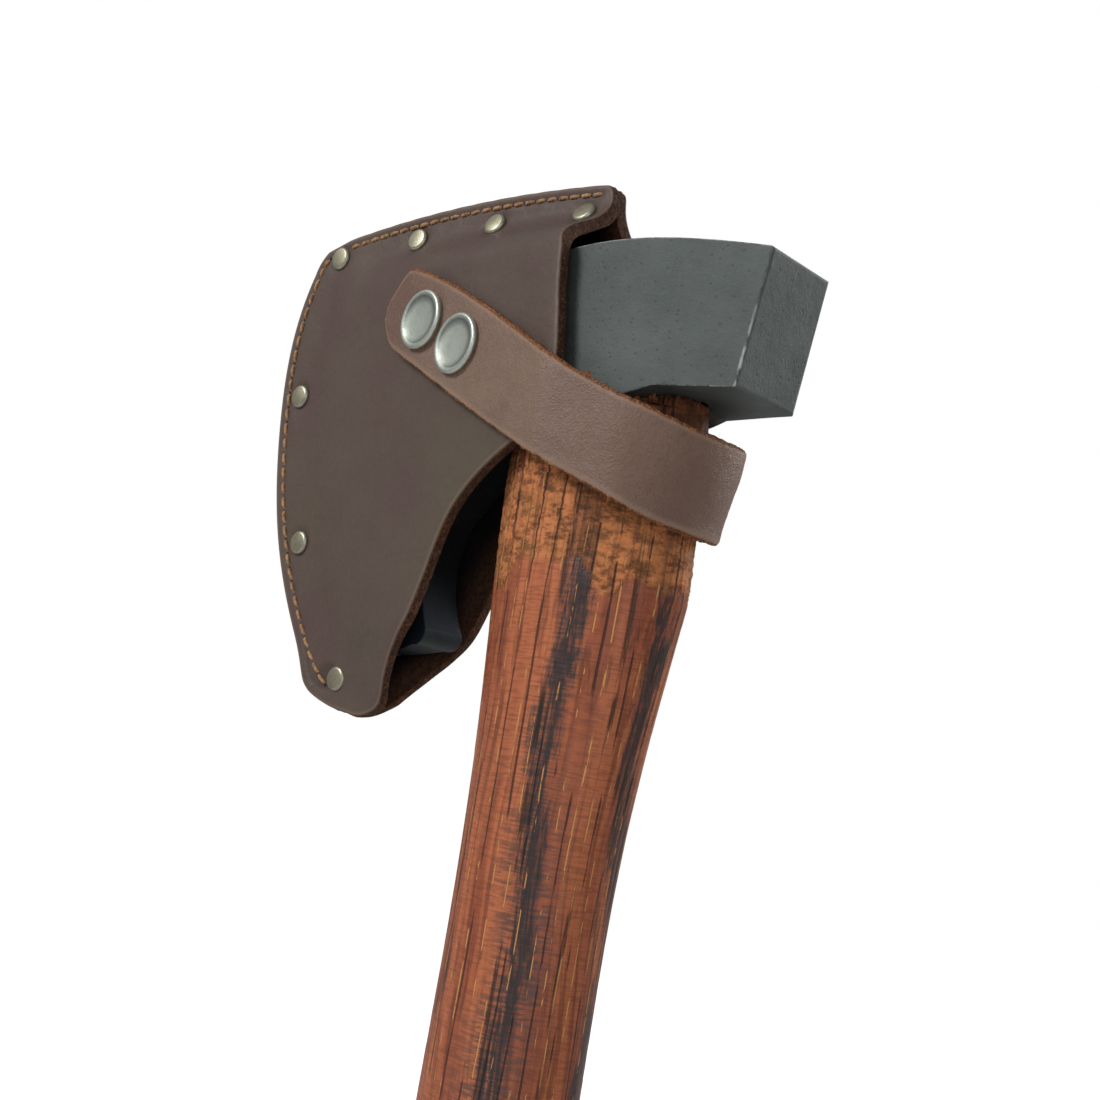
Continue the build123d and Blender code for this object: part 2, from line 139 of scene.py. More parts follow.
def hashed(cell, seed):
    n = cell[:, 0] * 73856093 ^ cell[:, 1] * 19349663 ^ cell[:, 2] * 83492791 ^ (seed * 40503 + 7)
    n = (n ^ (n >> 13)) * 1274126177
    n = n & 0xFFFFFFFF
    n = (n ^ (n >> 16)) & 0xFFFFFF
    return n / float(0x7FFFFF) - 1.0


def value_noise(points, scale, seed):
    """Smooth noise from -1 to 1. scale is one size or three, in millimetres."""
    p = points / np.array(scale, float)
    cell = np.floor(p).astype(np.int64)
    f = p - cell
    f = f * f * (3 - 2 * f)
    total = np.zeros(len(p))
    for corner in range(8):
        step = np.array([corner & 1, corner >> 1 & 1, corner >> 2 & 1])
        weight = np.prod(np.where(step, f, 1 - f), axis=1)
        total += weight * hashed(cell + step, seed)
    return total


def fractal(points, scale, octaves, seed):
    total, size, gain = np.zeros(len(points)), np.array(scale, float), 1.0
    for k in range(octaves):
        total += gain * value_noise(points, size, seed + 17 * k)
        size, gain = size * 0.5, gain * 0.5
    return total


def smooth(t):
    t = np.clip(t, 0.0, 1.0)
    return t * t * (3 - 2 * t)


def nearest(points, targets):
    """Distance from each point to the closest of the targets."""
    best = np.empty(len(points))
    for start in range(0, len(points), 4000):
        part = points[start : start + 4000]
        gaps = np.linalg.norm(part[:, None, :] - targets[None, :, :], axis=2)
        best[start : start + 4000] = gaps.min(1)
    return best


def walked_along(line):
    """Distance along a line of points, at each point."""
    return np.concatenate([[0.0], np.cumsum(np.linalg.norm(np.diff(line, axis=0), axis=1))])


def resampled(line, walked, at):
    """Points of a plane line at given distances along it."""
    return np.stack([np.interp(at, walked, line[:, 0]), np.interp(at, walked, line[:, 1])], 1)


def even_out(values, rounds):
    """Smooths values along a line in place, with both ends held."""
    for _ in range(rounds):
        values[1:-1] = 0.25 * values[:-2] + 0.5 * values[1:-1] + 0.25 * values[2:]


# ---------------------------------------------------------------- meshes


def cad_mesh(name):
    """A CAD node's vertices in millimetres, and its triangles."""
    mesh = nodes[name].data
    co = np.empty(len(mesh.vertices) * 3)
    mesh.vertices.foreach_get("co", co)
    mesh.calc_loop_triangles()
    tris = np.empty(len(mesh.loop_triangles) * 3, int)
    mesh.loop_triangles.foreach_get("vertices", tris)
    return co.reshape(-1, 3) * 1000.0 - RAISED, tris.reshape(-1, 3)


def cad_tree(name):
    co, tris = cad_mesh(name)
    return BVHTree.FromPolygons([tuple(p) for p in co], [tuple(t) for t in tris.tolist()])


def solids_of(name):
    """The vertices of each separate solid of a CAD node."""
    co, tris = cad_mesh(name)
    keys, index = np.unique(np.round(co, 4), axis=0, return_inverse=True)
    index = index.ravel()
    parent = list(range(len(keys)))

    def root(i):
        while parent[i] != i:
            parent[i] = parent[parent[i]]
            i = parent[i]
        return i

    for a, b, c in index[tris].tolist():
        ra, rb, rc = root(a), root(b), root(c)
        parent[rb] = ra
        parent[root(rc)] = ra
    groups = {}
    for i in range(len(keys)):
        groups.setdefault(root(i), []).append(keys[i])
    return [np.array(g) for g in groups.values()]


def make_piece(name, verts, faces, look, marks=None):
    """A smooth mesh from millimetre vertices, with named shading marks stored on its points."""
    mesh = bpy.data.meshes.new(name)
    mesh.from_pydata(((np.asarray(verts) + RAISED) / 1000.0).tolist(), [], faces)
    mesh.update()
    mesh.shade_smooth()
    for mark, values in (marks or {}).items():
        layer = mesh.attributes.new(mark, "FLOAT", "POINT")
        layer.data.foreach_set("value", np.asarray(values, np.float32))
    mesh.materials.append(look)
    obj = bpy.data.objects.new(name, mesh)
    bpy.context.scene.collection.objects.link(obj)
    return obj


def strip(first, second, count):
    """Quads between two closed rows of points, given by the index of each row's first point."""
    quads = []
    for i in range(count):
        j = (i + 1) % count
        quads.append((first + i, first + j, second + j, second + i))
    return quads


def tube(rows, count):
    """Quads that join a pile of closed rows."""
    quads = []
    for r in range(rows - 1):
        quads += strip(r * count, (r + 1) * count, count)
    return quads


def flipped(faces):
    return [tuple(reversed(f)) for f in faces]


def axes_for(normal):
    n = Vector(normal).normalized()
    side = n.cross(Vector((0, 0, 1))).normalized()
    return np.array(side), np.array(side.cross(n)), np.array(n)


def turned(profile, place, normal, sides=TURNED_SIDES):
    """A profile of (radius, height) revolved about a normal through a place."""
    side, up, n = axes_for(normal)
    verts = []
    for r, h in profile:
        for k in range(sides):
            a = 2 * math.pi * k / sides
            verts.append(np.array(place) + side * r * math.cos(a) + up * r * math.sin(a) + n * h)
    return verts, tube(len(profile), sides)


def joined(parts):
    verts, faces = [], []
    for v, f in parts:
        base = len(verts)
        verts += list(v)
        faces += [tuple(i + base for i in face) for face in f]
    return np.array(verts), faces


# ---------------------------------------------------------------- looks


def colour(r, g, b):
    """A display colour from 0 to 255 as a linear colour."""

    def linear(c):
        c = c / 255.0
        return c / 12.92 if c <= 0.04045 else ((c + 0.055) / 1.055) ** 2.4

    return (linear(r), linear(g), linear(b), 1.0)


class Look:
    """A node material. Sizes in it are in millimetres."""

    def __init__(self, name):
        self.material = bpy.data.materials.new(name)
        self.material.use_nodes = True
        self.tree = self.material.node_tree
        self.shader = self.tree.nodes["Principled BSDF"]
        place = self.add("ShaderNodeTexCoord").outputs["Object"]
        place = self.vector("MULTIPLY", place, (1000.0, 1000.0, 1000.0))
        self.place = self.vector("SUBTRACT", place, (0.0, 0.0, LIFT))

    def add(self, kind, **settings):
        node = self.tree.nodes.new(kind)
        for key, value in settings.items():
            setattr(node, key, value)
        return node

    def put(self, socket, value):
        """Links a socket or sets its value. A colour may be three display numbers from 0 to 255."""
        if isinstance(value, bpy.types.NodeSocket):
            self.tree.links.new(value, socket)
        elif socket.type == "RGBA" and len(value) == 3:
            socket.default_value = colour(*value)
        else:
            socket.default_value = value

    def vector(self, operation, a, b):
        node = self.add("ShaderNodeVectorMath", operation=operation)
        self.put(node.inputs[0], a)
        self.put(node.inputs[1], b)
        return node.outputs[0]

    def math(self, operation, a, b=0.5):
        node = self.add("ShaderNodeMath", operation=operation)
        self.put(node.inputs[0], a)
        self.put(node.inputs[1], b)
        return node.outputs[0]

    def times(self, a, b):
        return self.math("MULTIPLY", a, b)

    def plus(self, a, b):
        return self.math("ADD", a, b)

    def minus(self, a, b):
        return self.math("SUBTRACT", a, b)

    def most(self, a, b):
        return self.math("MAXIMUM", a, b)

    def stretched(self, sx, sy, sz, warp=None):
        """The place divided by three sizes, bent by a warp if one is given."""
        place = self.place if warp is None else self.vector("ADD", self.place, warp)
        return self.vector("MULTIPLY", place, (1.0 / sx, 1.0 / sy, 1.0 / sz))

    def noise(self, size, detail=3.0, rough=0.55, place=None, out="Fac"):
        node = self.add("ShaderNodeTexNoise")
        self.put(node.inputs["Vector"], self.place if place is None else place)
        node.inputs["Scale"].default_value = 1.0 / size
        node.inputs["Detail"].default_value = detail
        node.inputs["Roughness"].default_value = rough
        return node.outputs[out]

    def streaks(self, sizes, detail, rough, warp=None):
        """Noise with its own size along each axis."""
        return self.noise(1.0, detail, rough, self.stretched(*sizes, warp))

    def cells(self, size, feature="F1", place=None):
        node = self.add("ShaderNodeTexVoronoi", feature=feature)
        self.put(node.inputs["Vector"], self.place if place is None else place)
        node.inputs["Scale"].default_value = 1.0 / size
        return node.outputs["Distance"]

    def between(self, value, low, high):
        node = self.add("ShaderNodeMapRange", interpolation_type="SMOOTHSTEP")
        self.put(node.inputs["Value"], value)
        node.inputs["From Min"].default_value = low
        node.inputs["From Max"].default_value = high
        return node.outputs["Result"]

    def rows(self, size, half_width, offset, sway):
        """1 on thin lines that run along the grain at uneven spacing, 0 between them."""
        node = self.add("ShaderNodeTexVoronoi", feature="DISTANCE_TO_EDGE", voronoi_dimensions="1D")
        place = self.plus(self.plus(self.mark("around"), offset), sway)
        self.put(node.inputs["W"], place)
        node.inputs["Scale"].default_value = 1.0 / size
        return self.between(node.outputs["Distance"], half_width * 1.5 / size, half_width * 0.5 / size)

    def dot(self, a, b):
        node = self.add("ShaderNodeVectorMath", operation="DOT_PRODUCT")
        self.put(node.inputs[0], a)
        self.put(node.inputs[1], b)
        return node.outputs["Value"]

    def height(self, low, high):
        """0 at one height and 1 at the other."""
        return self.between(self.dot(self.place, (0.0, 0.0, 1.0)), low, high)

    def mark(self, name):
        return self.add("ShaderNodeAttribute", attribute_name=name).outputs["Fac"]

    def mix(self, factor, a, b):
        node = self.add("ShaderNodeMix", data_type="RGBA")
        self.put(node.inputs[0], factor)
        self.put(node.inputs[6], a)
        self.put(node.inputs[7], b)
        return node.outputs[2]

    def over(self, base, where, strength, shade):
        """The base with a shade laid over it, as strong as where times strength."""
        return self.mix(self.times(where, strength), base, shade)

    def bump(self, height, depth, under=None, strength=1.0):
        node = self.add("ShaderNodeBump")
        self.put(node.inputs["Height"], height)
        node.inputs["Distance"].default_value = depth / 1000.0
        node.inputs["Strength"].default_value = strength
        if under is not None:
            self.put(node.inputs["Normal"], under)
        return node.outputs["Normal"]

    def done(self, base, rough, normal=None, metal=0.0, **more):
        self.put(self.shader.inputs["Base Color"], base)
        self.put(self.shader.inputs["Roughness"], rough)
        self.put(self.shader.inputs["Metallic"], metal)
        if normal is not None:
            self.put(self.shader.inputs["Normal"], normal)
        for key, value in more.items():
            self.put(self.shader.inputs[key.replace("_", " ")], value)
        return self.material


def panel_leather():
    look = Look("panel_leather")
    cloudy = look.between(look.noise(26.0, 3.0, 0.5), 0.35, 0.66)
    base = look.mix(cloudy, (97, 83, 74), (94, 76, 71))
    elsewhere = look.vector("ADD", look.place, (90.0, 0.0, 40.0))
    olive = look.between(look.noise(44.0, 2.0, 0.5, elsewhere), 0.5, 0.72)
    base = look.mix(olive, base, (95, 84, 71))
    fine = look.between(look.noise(1.3, 4.0, 0.65), 0.3, 0.75)
    base = look.over(base, fine, 0.2, (76, 61, 54))
    scuff = look.between(look.noise(3.0, 5.0, 0.7, look.stretched(9.0, 3.0, 3.0)), 0.6, 0.8)
    base = look.over(base, scuff, 0.12, (126, 108, 94))
    base = look.over(base, look.mark("rim"), 0.5, (140, 116, 98))
    # Painted shade: darker round the rivet caps and along the stitch groove, where shadow falls.
    base = look.over(base, look.mark("painted_shade"), 0.5, (66, 52, 46))
    suede = look.between(look.noise(0.9, 5.0, 0.7), 0.3, 0.7)
    inner = look.mix(suede, (50, 33, 25), (92, 62, 43))
    # Painted shade: the inner face goes near black deeper inside the sheath, where light does not reach.
    inner = look.mix(look.mark("deep"), inner, look.mix(suede, (9, 8, 8), (18, 14, 12)))
    base = look.mix(look.mark("inner"), base, inner)
    fibre = look.noise(0.55, 5.0, 0.75, look.stretched(1.0, 0.7, 1.0))
    strands = look.between(fibre, 0.42, 0.68)
    cut = look.mix(strands, (58, 36, 26), (138, 96, 62))
    dark = look.between(look.noise(2.2, 3.0, 0.6), 0.4, 0.62)
    cut = look.over(cut, dark, 0.55, (52, 33, 24))
    base = look.mix(look.mark("cut"), base, cut)
    grain = look.cells(0.75)
    rough = look.plus(look.times(fine, 0.12), 0.46)
    rough = look.most(rough, look.times(look.mark("cut"), 0.9))
    rough = look.most(rough, look.times(look.mark("inner"), 0.9))
    normal = look.bump(look.noise(9.0, 3.0, 0.5), 0.5)
    normal = look.bump(grain, 0.05, normal, 0.8)
    normal = look.bump(look.noise(0.35, 3.0, 0.6), 0.04, normal)
    coarse = look.times(fibre, look.most(look.mark("cut"), look.mark("inner")))
    normal = look.bump(coarse, 0.35, normal)
    return look.done(base, rough, normal, Specular_IOR_Level=0.3)


def strap_leather():
    look = Look("strap_leather")
    along = look.between(look.noise(20.0, 3.0, 0.55), 0.35, 0.68)
    base = look.mix(along, (136, 109, 93), (124, 97, 83))
    # Painted shade where the strap turns round the handle's back and faces away from the light.
    base = look.mix(look.mark("bend_shade"), base, (122, 92, 77))
    base = look.mix(look.mark("tip"), base, (113, 84, 71))
    fine = look.noise(0.9, 4.0, 0.7)
    base = look.over(base, look.between(fine, 0.45, 0.75), 0.3, (86, 65, 55))
    base = look.over(base, look.mark("rim"), 0.6, (176, 146, 122))
    suede = look.between(look.noise(0.9, 5.0, 0.7), 0.3, 0.7)
    base = look.mix(look.mark("inner"), base, look.mix(suede, (70, 46, 34), (120, 84, 58)))
    fibre = look.noise(0.5, 5.0, 0.75)
    cut = look.mix(look.between(fibre, 0.4, 0.66), (84, 48, 29), (182, 118, 66))
    tufts = look.times(look.minus(look.noise(0.5, 4.0, 0.7), 0.5), 1.6)
    ragged = look.between(look.plus(look.mark("cut"), tufts), 0.3, 0.6)
    base = look.mix(ragged, base, cut)
    shaken = look.vector("ADD", look.place, look.noise(1.2, 2.0, out="Color"))
    pebble = look.cells(0.42, "SMOOTH_F1", shaken)
    rough = look.plus(look.times(fine, 0.2), 0.38)
    rough = look.most(rough, look.times(look.mark("cut"), 0.9))
    normal = look.bump(look.noise(5.0, 3.0, 0.55), 0.16)
    normal = look.bump(pebble, 0.1, normal)
    normal = look.bump(look.noise(0.45, 4.0, 0.65), 0.1, normal)
    rougher = look.times(fibre, look.most(look.mark("cut"), look.mark("inner")))
    normal = look.bump(rougher, 0.35, normal)
    return look.done(base, rough, normal, Specular_IOR_Level=0.5)


def waxed_thread():
    look = Look("waxed_thread")
    dirt = look.between(look.noise(1.6, 4.0, 0.6), 0.35, 0.7)
    base = look.mix(dirt, (196, 150, 106), (132, 96, 66))
    # Painted shade: near black on the discs that stand for the awl holes.
    base = look.mix(look.mark("hole"), base, (22, 14, 11))
    normal = look.bump(look.noise(0.16, 3.0, 0.6), 0.06)
    return look.done(base, 0.7, normal)


def nickel(name, light, dark, rough, brushed):
    """Worn plated metal: cloudy tarnish, fine scratches, pitted grime, and painted shade in the dish of a
    snap cap.
    """
    look = Look(name)
    cloud = look.between(look.noise(3.6, 5.0, 0.62), 0.3, 0.72)
    base = look.mix(cloud, light, dark)
    grime = look.between(look.noise(0.6, 4.0, 0.7), 0.55, 0.78)
    base = look.over(base, grime, 0.35, (92, 94, 88))
    base = look.over(base, look.mark("rim"), 0.4, (190, 196, 190))
    # Painted shade in the dish under a snap cap's rolled rim.
    base = look.over(base, look.mark("painted_shade"), 0.75, (60, 64, 62))
    scratch = look.noise(0.5, 4.0, 0.75, look.stretched(brushed, 1.0, 1.0 / brushed))
    shine = look.plus(look.times(look.plus(cloud, grime), 0.09), rough)
    normal = look.bump(scratch, 0.02)
    normal = look.bump(look.noise(1.4, 4.0, 0.6), 0.025, normal)
    return look.done(base, shine, normal, 1.0)


def circle_through(a, b, c):
    """Centre and radius of the circle through three points."""
    rows = np.array([[b[0] - a[0], b[1] - a[1]], [c[0] - a[0], c[1] - a[1]]]) * 2.0
    sums = [p[0] ** 2 - a[0] ** 2 + p[1] ** 2 - a[1] ** 2 for p in (b, c)]
    x, z = np.linalg.solve(rows, np.array(sums))
    return x, z, math.hypot(a[0] - x, a[1] - z)


def forged_steel():
    """Matt coated steel: speckle, forging clouds, small pits, worn arrises, a bright ground bevel, and
    near-black painted shade where the sheath hides it.
    """
    look = Look("forged_steel")
    speck = look.noise(0.5, 4.0, 0.75)
    cloud = look.between(look.noise(13.0, 4.0, 0.55), 0.3, 0.7)
    base = look.mix(cloud, (95, 101, 99), (84, 90, 88))
    base = look.over(base, look.between(speck, 0.46, 0.72), 0.55, (104, 112, 106))
    pits = look.between(look.cells(1.9), 0.0, 0.28)
    base = look.over(base, look.minus(1.0, pits), 0.4, (44, 50, 50))
    lower = look.height(-14.0, -26.0)
    heel = look.height(-52.0, -66.0)
    # Painted shade: where ambient occlusion finds the head shut in the sheath, low down, the colour goes
    # near black (bluer towards the heel) and the metal and gloss drop.
    sheath_shade_colour = look.mix(heel, (9, 11, 13), (24, 32, 41))
    hidden = look.add("ShaderNodeAmbientOcclusion", samples=6)
    hidden.inputs["Distance"].default_value = 0.1
    hidden_shade = look.between(hidden.outputs["AO"], 0.88, 0.52)
    hidden_shade = look.times(hidden_shade, lower)
    base = look.over(base, lower, 0.3, (40, 47, 54))
    base = look.mix(look.times(hidden_shade, 0.97), base, sheath_shade_colour)
    centre_x, centre_z, radius = circle_through(*EDGE_ARC)
    away = look.vector("SUBTRACT", look.place, (centre_x, 0.0, centre_z))
    away = look.vector("MULTIPLY", away, (1.0, 0.0, 1.0))
    length = look.add("ShaderNodeVectorMath", operation="LENGTH")
    look.put(length.inputs[0], away)
    ground = look.between(length.outputs["Value"], radius - BEVEL_WIDTH - 0.3, radius - BEVEL_WIDTH + 0.3)
    lines = look.noise(0.4, 3.0, 0.6, look.stretched(6.0, 1.0, 0.5))
    base = look.mix(ground, base, look.mix(lines, (128, 132, 132), (182, 186, 186)))
    rounded = look.add("ShaderNodeBevel", samples=6)
    rounded.inputs["Radius"].default_value = 0.0006
    face = look.add("ShaderNodeNewGeometry").outputs["Normal"]
    edge = look.between(look.dot(rounded.outputs[0], face), 0.985, 0.86)
    wear = look.times(edge, look.between(look.noise(2.5, 5.0, 0.7), 0.4, 0.6))
    front = look.minus(look.dot(look.place, POLL_AXIS), POLL_AXIS[0] * POLL_REACH)
    sides = look.math("ABSOLUTE", look.dot(look.place, (0.0, 1.0, 0.0)))
    arris = look.times(look.between(front, -0.75, -0.3), look.between(sides, 10.6, 11.0))
    chipped = look.between(look.noise(2.0, 5.0, 0.7, look.stretched(1.0, 1.0, 3.0)), 0.44, 0.6)
    low_end = look.height(8.0, -12.0)
    worn = look.times(look.times(arris, chipped), look.plus(low_end, 0.25))
    wear = look.math("MINIMUM", look.plus(wear, worn), 1.0)
    wear = look.times(wear, look.minus(1.0, lower))
    base = look.mix(wear, base, (190, 194, 190))
    rough = look.plus(look.times(speck, 0.22), 0.46)
    rough = look.minus(rough, look.times(ground, 0.25))
    metal = look.plus(look.times(ground, 0.6), 0.3)
    metal = look.times(metal, look.minus(1.0, hidden_shade))
    gloss = look.minus(0.35, look.times(hidden_shade, 0.32))
    normal = look.bump(look.noise(8.0, 3.0, 0.5), 0.3, rounded.outputs[0])
    normal = look.bump(speck, 0.1, normal)
    normal = look.bump(pits, 0.05, normal)
    return look.done(base, rough, normal, metal, Specular_IOR_Level=gloss)


def flamed_wood():
    """Scorched and oiled handle wood: red-brown bands, burnt streaks, pale and dark grain, a rasped top."""
    look = Look("flamed_wood")
    sway = look.vector("MULTIPLY", look.noise(70.0, 1.0, 0.4, out="Color"), (9.0, 9.0, 0.0))
    bands = look.streaks((7.5, 7.5, 170.0), 3.0, 0.5, sway)
    base = look.mix(look.between(bands, 0.36, 0.62), (200, 116, 76), (158, 84, 57))
    lines = look.streaks((1.5, 1.5, 110.0), 4.0, 0.65, sway)
    base = look.over(base, look.between(lines, 0.48, 0.66), 0.55, (92, 46, 30))
    tint = look.between(look.streaks((10.0, 10.0, 120.0), 2.0, 0.5, sway), 0.54, 0.7)
    base = look.over(base, tint, 0.5, (206, 126, 78))
    silk = look.streaks((4.0, 4.0, 0.5), 3.0, 0.6)
    base = look.over(base, look.between(silk, 0.42, 0.66), 0.34, (84, 42, 28))
    ragged = look.times(look.streaks((2.2, 2.2, 16.0), 4.0, 0.7), 7.0)
    drift = look.times(look.streaks((400.0, 400.0, 55.0), 1.0, 0.4), 12.0)
    across = look.plus(look.dot(look.place, ACROSS_VIEW), look.plus(drift, ragged))
    near = look.between(look.dot(look.place, TOWARDS_VIEW), 2.0, 6.0)
    from_burn = look.math("ABSOLUTE", look.minus(across, BURN_AT))
    main = look.between(from_burn, 3.0, 1.4)
    haze = look.times(look.between(from_burn, 9.0, 2.0), look.height(-70.0, -130.0))
    haze = look.most(haze, look.between(from_burn, 5.0, 1.0))
    haze = look.times(look.times(haze, near), look.between(silk, 0.35, 0.6))
    side = look.between(look.math("ABSOLUTE", look.minus(across, EDGE_BURN_AT)), 2.4, 1.0)
    burnt = look.streaks((8.0, 8.0, 120.0), 4.0, 0.62, sway)
    fibres = look.streaks((0.9, 0.9, 60.0), 4.0, 0.7, sway)
    core = look.times(look.most(main, side), near)
    core = look.times(core, look.between(fibres, 0.3, 0.52))
    streak = look.most(core, look.times(look.between(burnt, 0.58, 0.68), 0.8))
    base = look.over(base, haze, 0.75, (82, 74, 73))
    base = look.over(base, streak, 0.88, (46, 47, 50))
    drift = look.times(look.streaks((9.0, 9.0, 60.0), 2.0, 0.5), 2.4)
    dash = look.streaks((1.6, 1.6, 6.0), 3.0, 0.6)
    pale = look.times(look.rows(4.0, 0.16, 0.0, drift), look.between(dash, 0.5, 0.56))
    base = look.over(base, pale, 0.9, (228, 164, 98))
    gaps = look.streaks((2.0, 2.0, 22.0), 3.0, 0.6)
    black = look.times(look.rows(5.2, 0.2, 73.0, drift), look.between(gaps, 0.44, 0.54))
    wide = look.times(look.rows(17.0, 0.5, 31.0, drift), look.between(gaps, 0.47, 0.6))
    black = look.most(black, wide)
    base = look.over(base, black, 0.8, (40, 32, 30))
    chips = look.noise(2.2, 5.0, 0.7, look.stretched(1.6, 1.6, 0.8))
    rasp = look.mix(look.between(chips, 0.36, 0.6), (118, 70, 38), (222, 138, 84))
    ochre = look.between(look.noise(6.0, 3.0, 0.6), 0.42, 0.62)
    rasp = look.over(rasp, ochre, 0.35, (166, 112, 60))
    rasp = look.over(rasp, look.between(lines, 0.5, 0.62), 0.5, (78, 46, 28))
    rasp = look.over(rasp, streak, 0.5, (62, 46, 36))
    rasp = look.over(rasp, pale, 0.7, (214, 156, 88))
    rasp = look.over(rasp, black, 0.85, (36, 26, 24))
    # Painted shadow: the rasped wood darkens towards the top, under the head.
    shade = look.height(-34.0, -20.0)
    rasp = look.over(rasp, shade, 0.6, (70, 36, 24))
    base = look.mix(look.mark("rasped"), base, rasp)
    end = look.streaks((1.2, 1.2, 40.0), 4.0, 0.6)
    end = look.mix(look.between(end, 0.4, 0.62), (150, 100, 58), (96, 58, 34))
    base = look.mix(look.mark("endgrain"), base, end)
    rough = look.plus(look.times(look.mark("rasped"), 0.35), 0.4)
    pits = look.plus(look.times(black, 1.5), look.times(pale, 0.8))
    normal = look.bump(look.minus(lines, pits), 0.16)
    normal = look.bump(silk, 0.04, normal)
    normal = look.bump(look.times(chips, look.mark("rasped")), 0.8, normal)
    return look.done(base, rough, normal, Specular_IOR_Level=0.35, Coat_Weight=0.06, Coat_Roughness=0.35)


def wedge_wood():
    look = Look("wedge_wood")
    grain = look.streaks((5.0, 0.7, 9.0), 4.0, 0.6)
    base = look.mix(look.between(grain, 0.4, 0.64), (182, 134, 84), (126, 82, 48))
    normal = look.bump(grain, 0.2)
    return look.done(base, 0.72, normal)


def wedge_steel():
    look = Look("wedge_steel")
    rust = look.between(look.noise(1.8, 5.0, 0.7), 0.5, 0.68)
    base = look.mix(rust, (128, 130, 130), (104, 74, 54))
    normal = look.bump(look.noise(0.6, 4.0, 0.65), 0.12)
    return look.done(base, look.plus(look.times(rust, 0.35), 0.34), normal, 0.85)


# ---------------------------------------------------------------- panels


def panel_loop(name, holes):
    """The panel's outline in X and Z, evenly spaced, from the walls of its CAD solid."""
    co, tris = cad_mesh(name)
    a, b, c = co[tris[:, 0]], co[tris[:, 1]], co[tris[:, 2]]
    normal = np.cross(b - a, c - a)
    length = np.linalg.norm(normal, axis=1)
    wall = (length > 1e-9) & (np.abs(normal[:, 1]) < 0.01 * np.maximum(length, 1e-9))
    points = np.unique(np.round(co[tris[wall].ravel()][:, [0, 2]], 3), axis=0)
    points = points[nearest(points, holes) > HOLE_CLEARANCE]
    away = points - np.array(PANEL_CENTRE)
    angle = np.arctan2(away[:, 1], away[:, 0])
    order = np.argsort(angle)
    radius = np.linalg.norm(away, axis=1)[order]
    angle = angle[order]
    turn = np.linspace(-math.pi, math.pi, OUTLINE_RAYS, endpoint=False)
    reach = np.interp(turn, angle, radius, period=2 * math.pi)
    ring = np.stack([np.cos(turn), np.sin(turn)], 1) * reach[:, None] + np.array(PANEL_CENTRE)
    closed = np.vstack([ring, ring[:1]])
    walked = walked_along(closed)
    count = int(walked[-1] / OUTLINE_STEP)
    return resampled(closed, walked, np.arange(count) * walked[-1] / count)


def loop_normals(loop):
    """Outward normals of an anticlockwise loop, evened out along it."""
    tangent = np.roll(loop, -3, 0) - np.roll(loop, 3, 0)
    normal = np.stack([tangent[:, 1], -tangent[:, 0]], 1)
    return normal / np.linalg.norm(normal, axis=1)[:, None]


class Heights:
    """Smoothed distance of a panel's face from the middle plane, on a lattice in X and Z."""

    def __init__(self, name, side, outer):
        tree = cad_tree(name)
        self.low = np.array(HEIGHTS_LOW)
        self.shape = HEIGHTS_SHAPE
        grid = np.full(self.shape, np.nan)
        for i in range(self.shape[0]):
            for k in range(self.shape[1]):
                x, z = self.low[0] + i, self.low[1] + k
                start = side * 60.0 if outer else 0.0
                hit = tree.ray_cast(Vector((x, start, z)), Vector((0, -side if outer else side, 0)))
                if hit[0] is not None:
                    grid[i, k] = abs(hit[0].y)
        self.grid = self.blurred(grid)

    def blurred(self, grid):
        known = ~np.isnan(grid)
        total = np.where(known, grid, 0.0)
        weight = known.astype(float)
        for _ in range(3):
            total, weight = self.box(total), self.box(weight)
        wide_total, wide_weight = total, weight
        for _ in range(8):
            wide_total, wide_weight = self.box(wide_total), self.box(wide_weight)
        fine = total / np.maximum(weight, 1e-9)
        coarse = wide_total / np.maximum(wide_weight, 1e-9)
        return np.where(weight > 0.15, fine, coarse)

    def box(self, grid):
        kernel = np.array([0.25, 0.5, 0.25])
        padded = np.pad(grid, 1, mode="constant")
        rows = sum(kernel[d] * padded[d : d + grid.shape[0], :] for d in range(3))
        return sum(kernel[d] * rows[:, d : d + grid.shape[1]] for d in range(3))

    def at(self, points):
        p = np.clip(points - self.low, 0, np.array(self.shape) - 1.001)
        i = np.floor(p).astype(int)
        f = p - i
        g = self.grid
        low = g[i[:, 0], i[:, 1]] * (1 - f[:, 0]) + g[i[:, 0] + 1, i[:, 1]] * f[:, 0]
        high = g[i[:, 0], i[:, 1] + 1] * (1 - f[:, 0]) + g[i[:, 0] + 1, i[:, 1] + 1] * f[:, 0]
        return low * (1 - f[:, 1]) + high * f[:, 1]


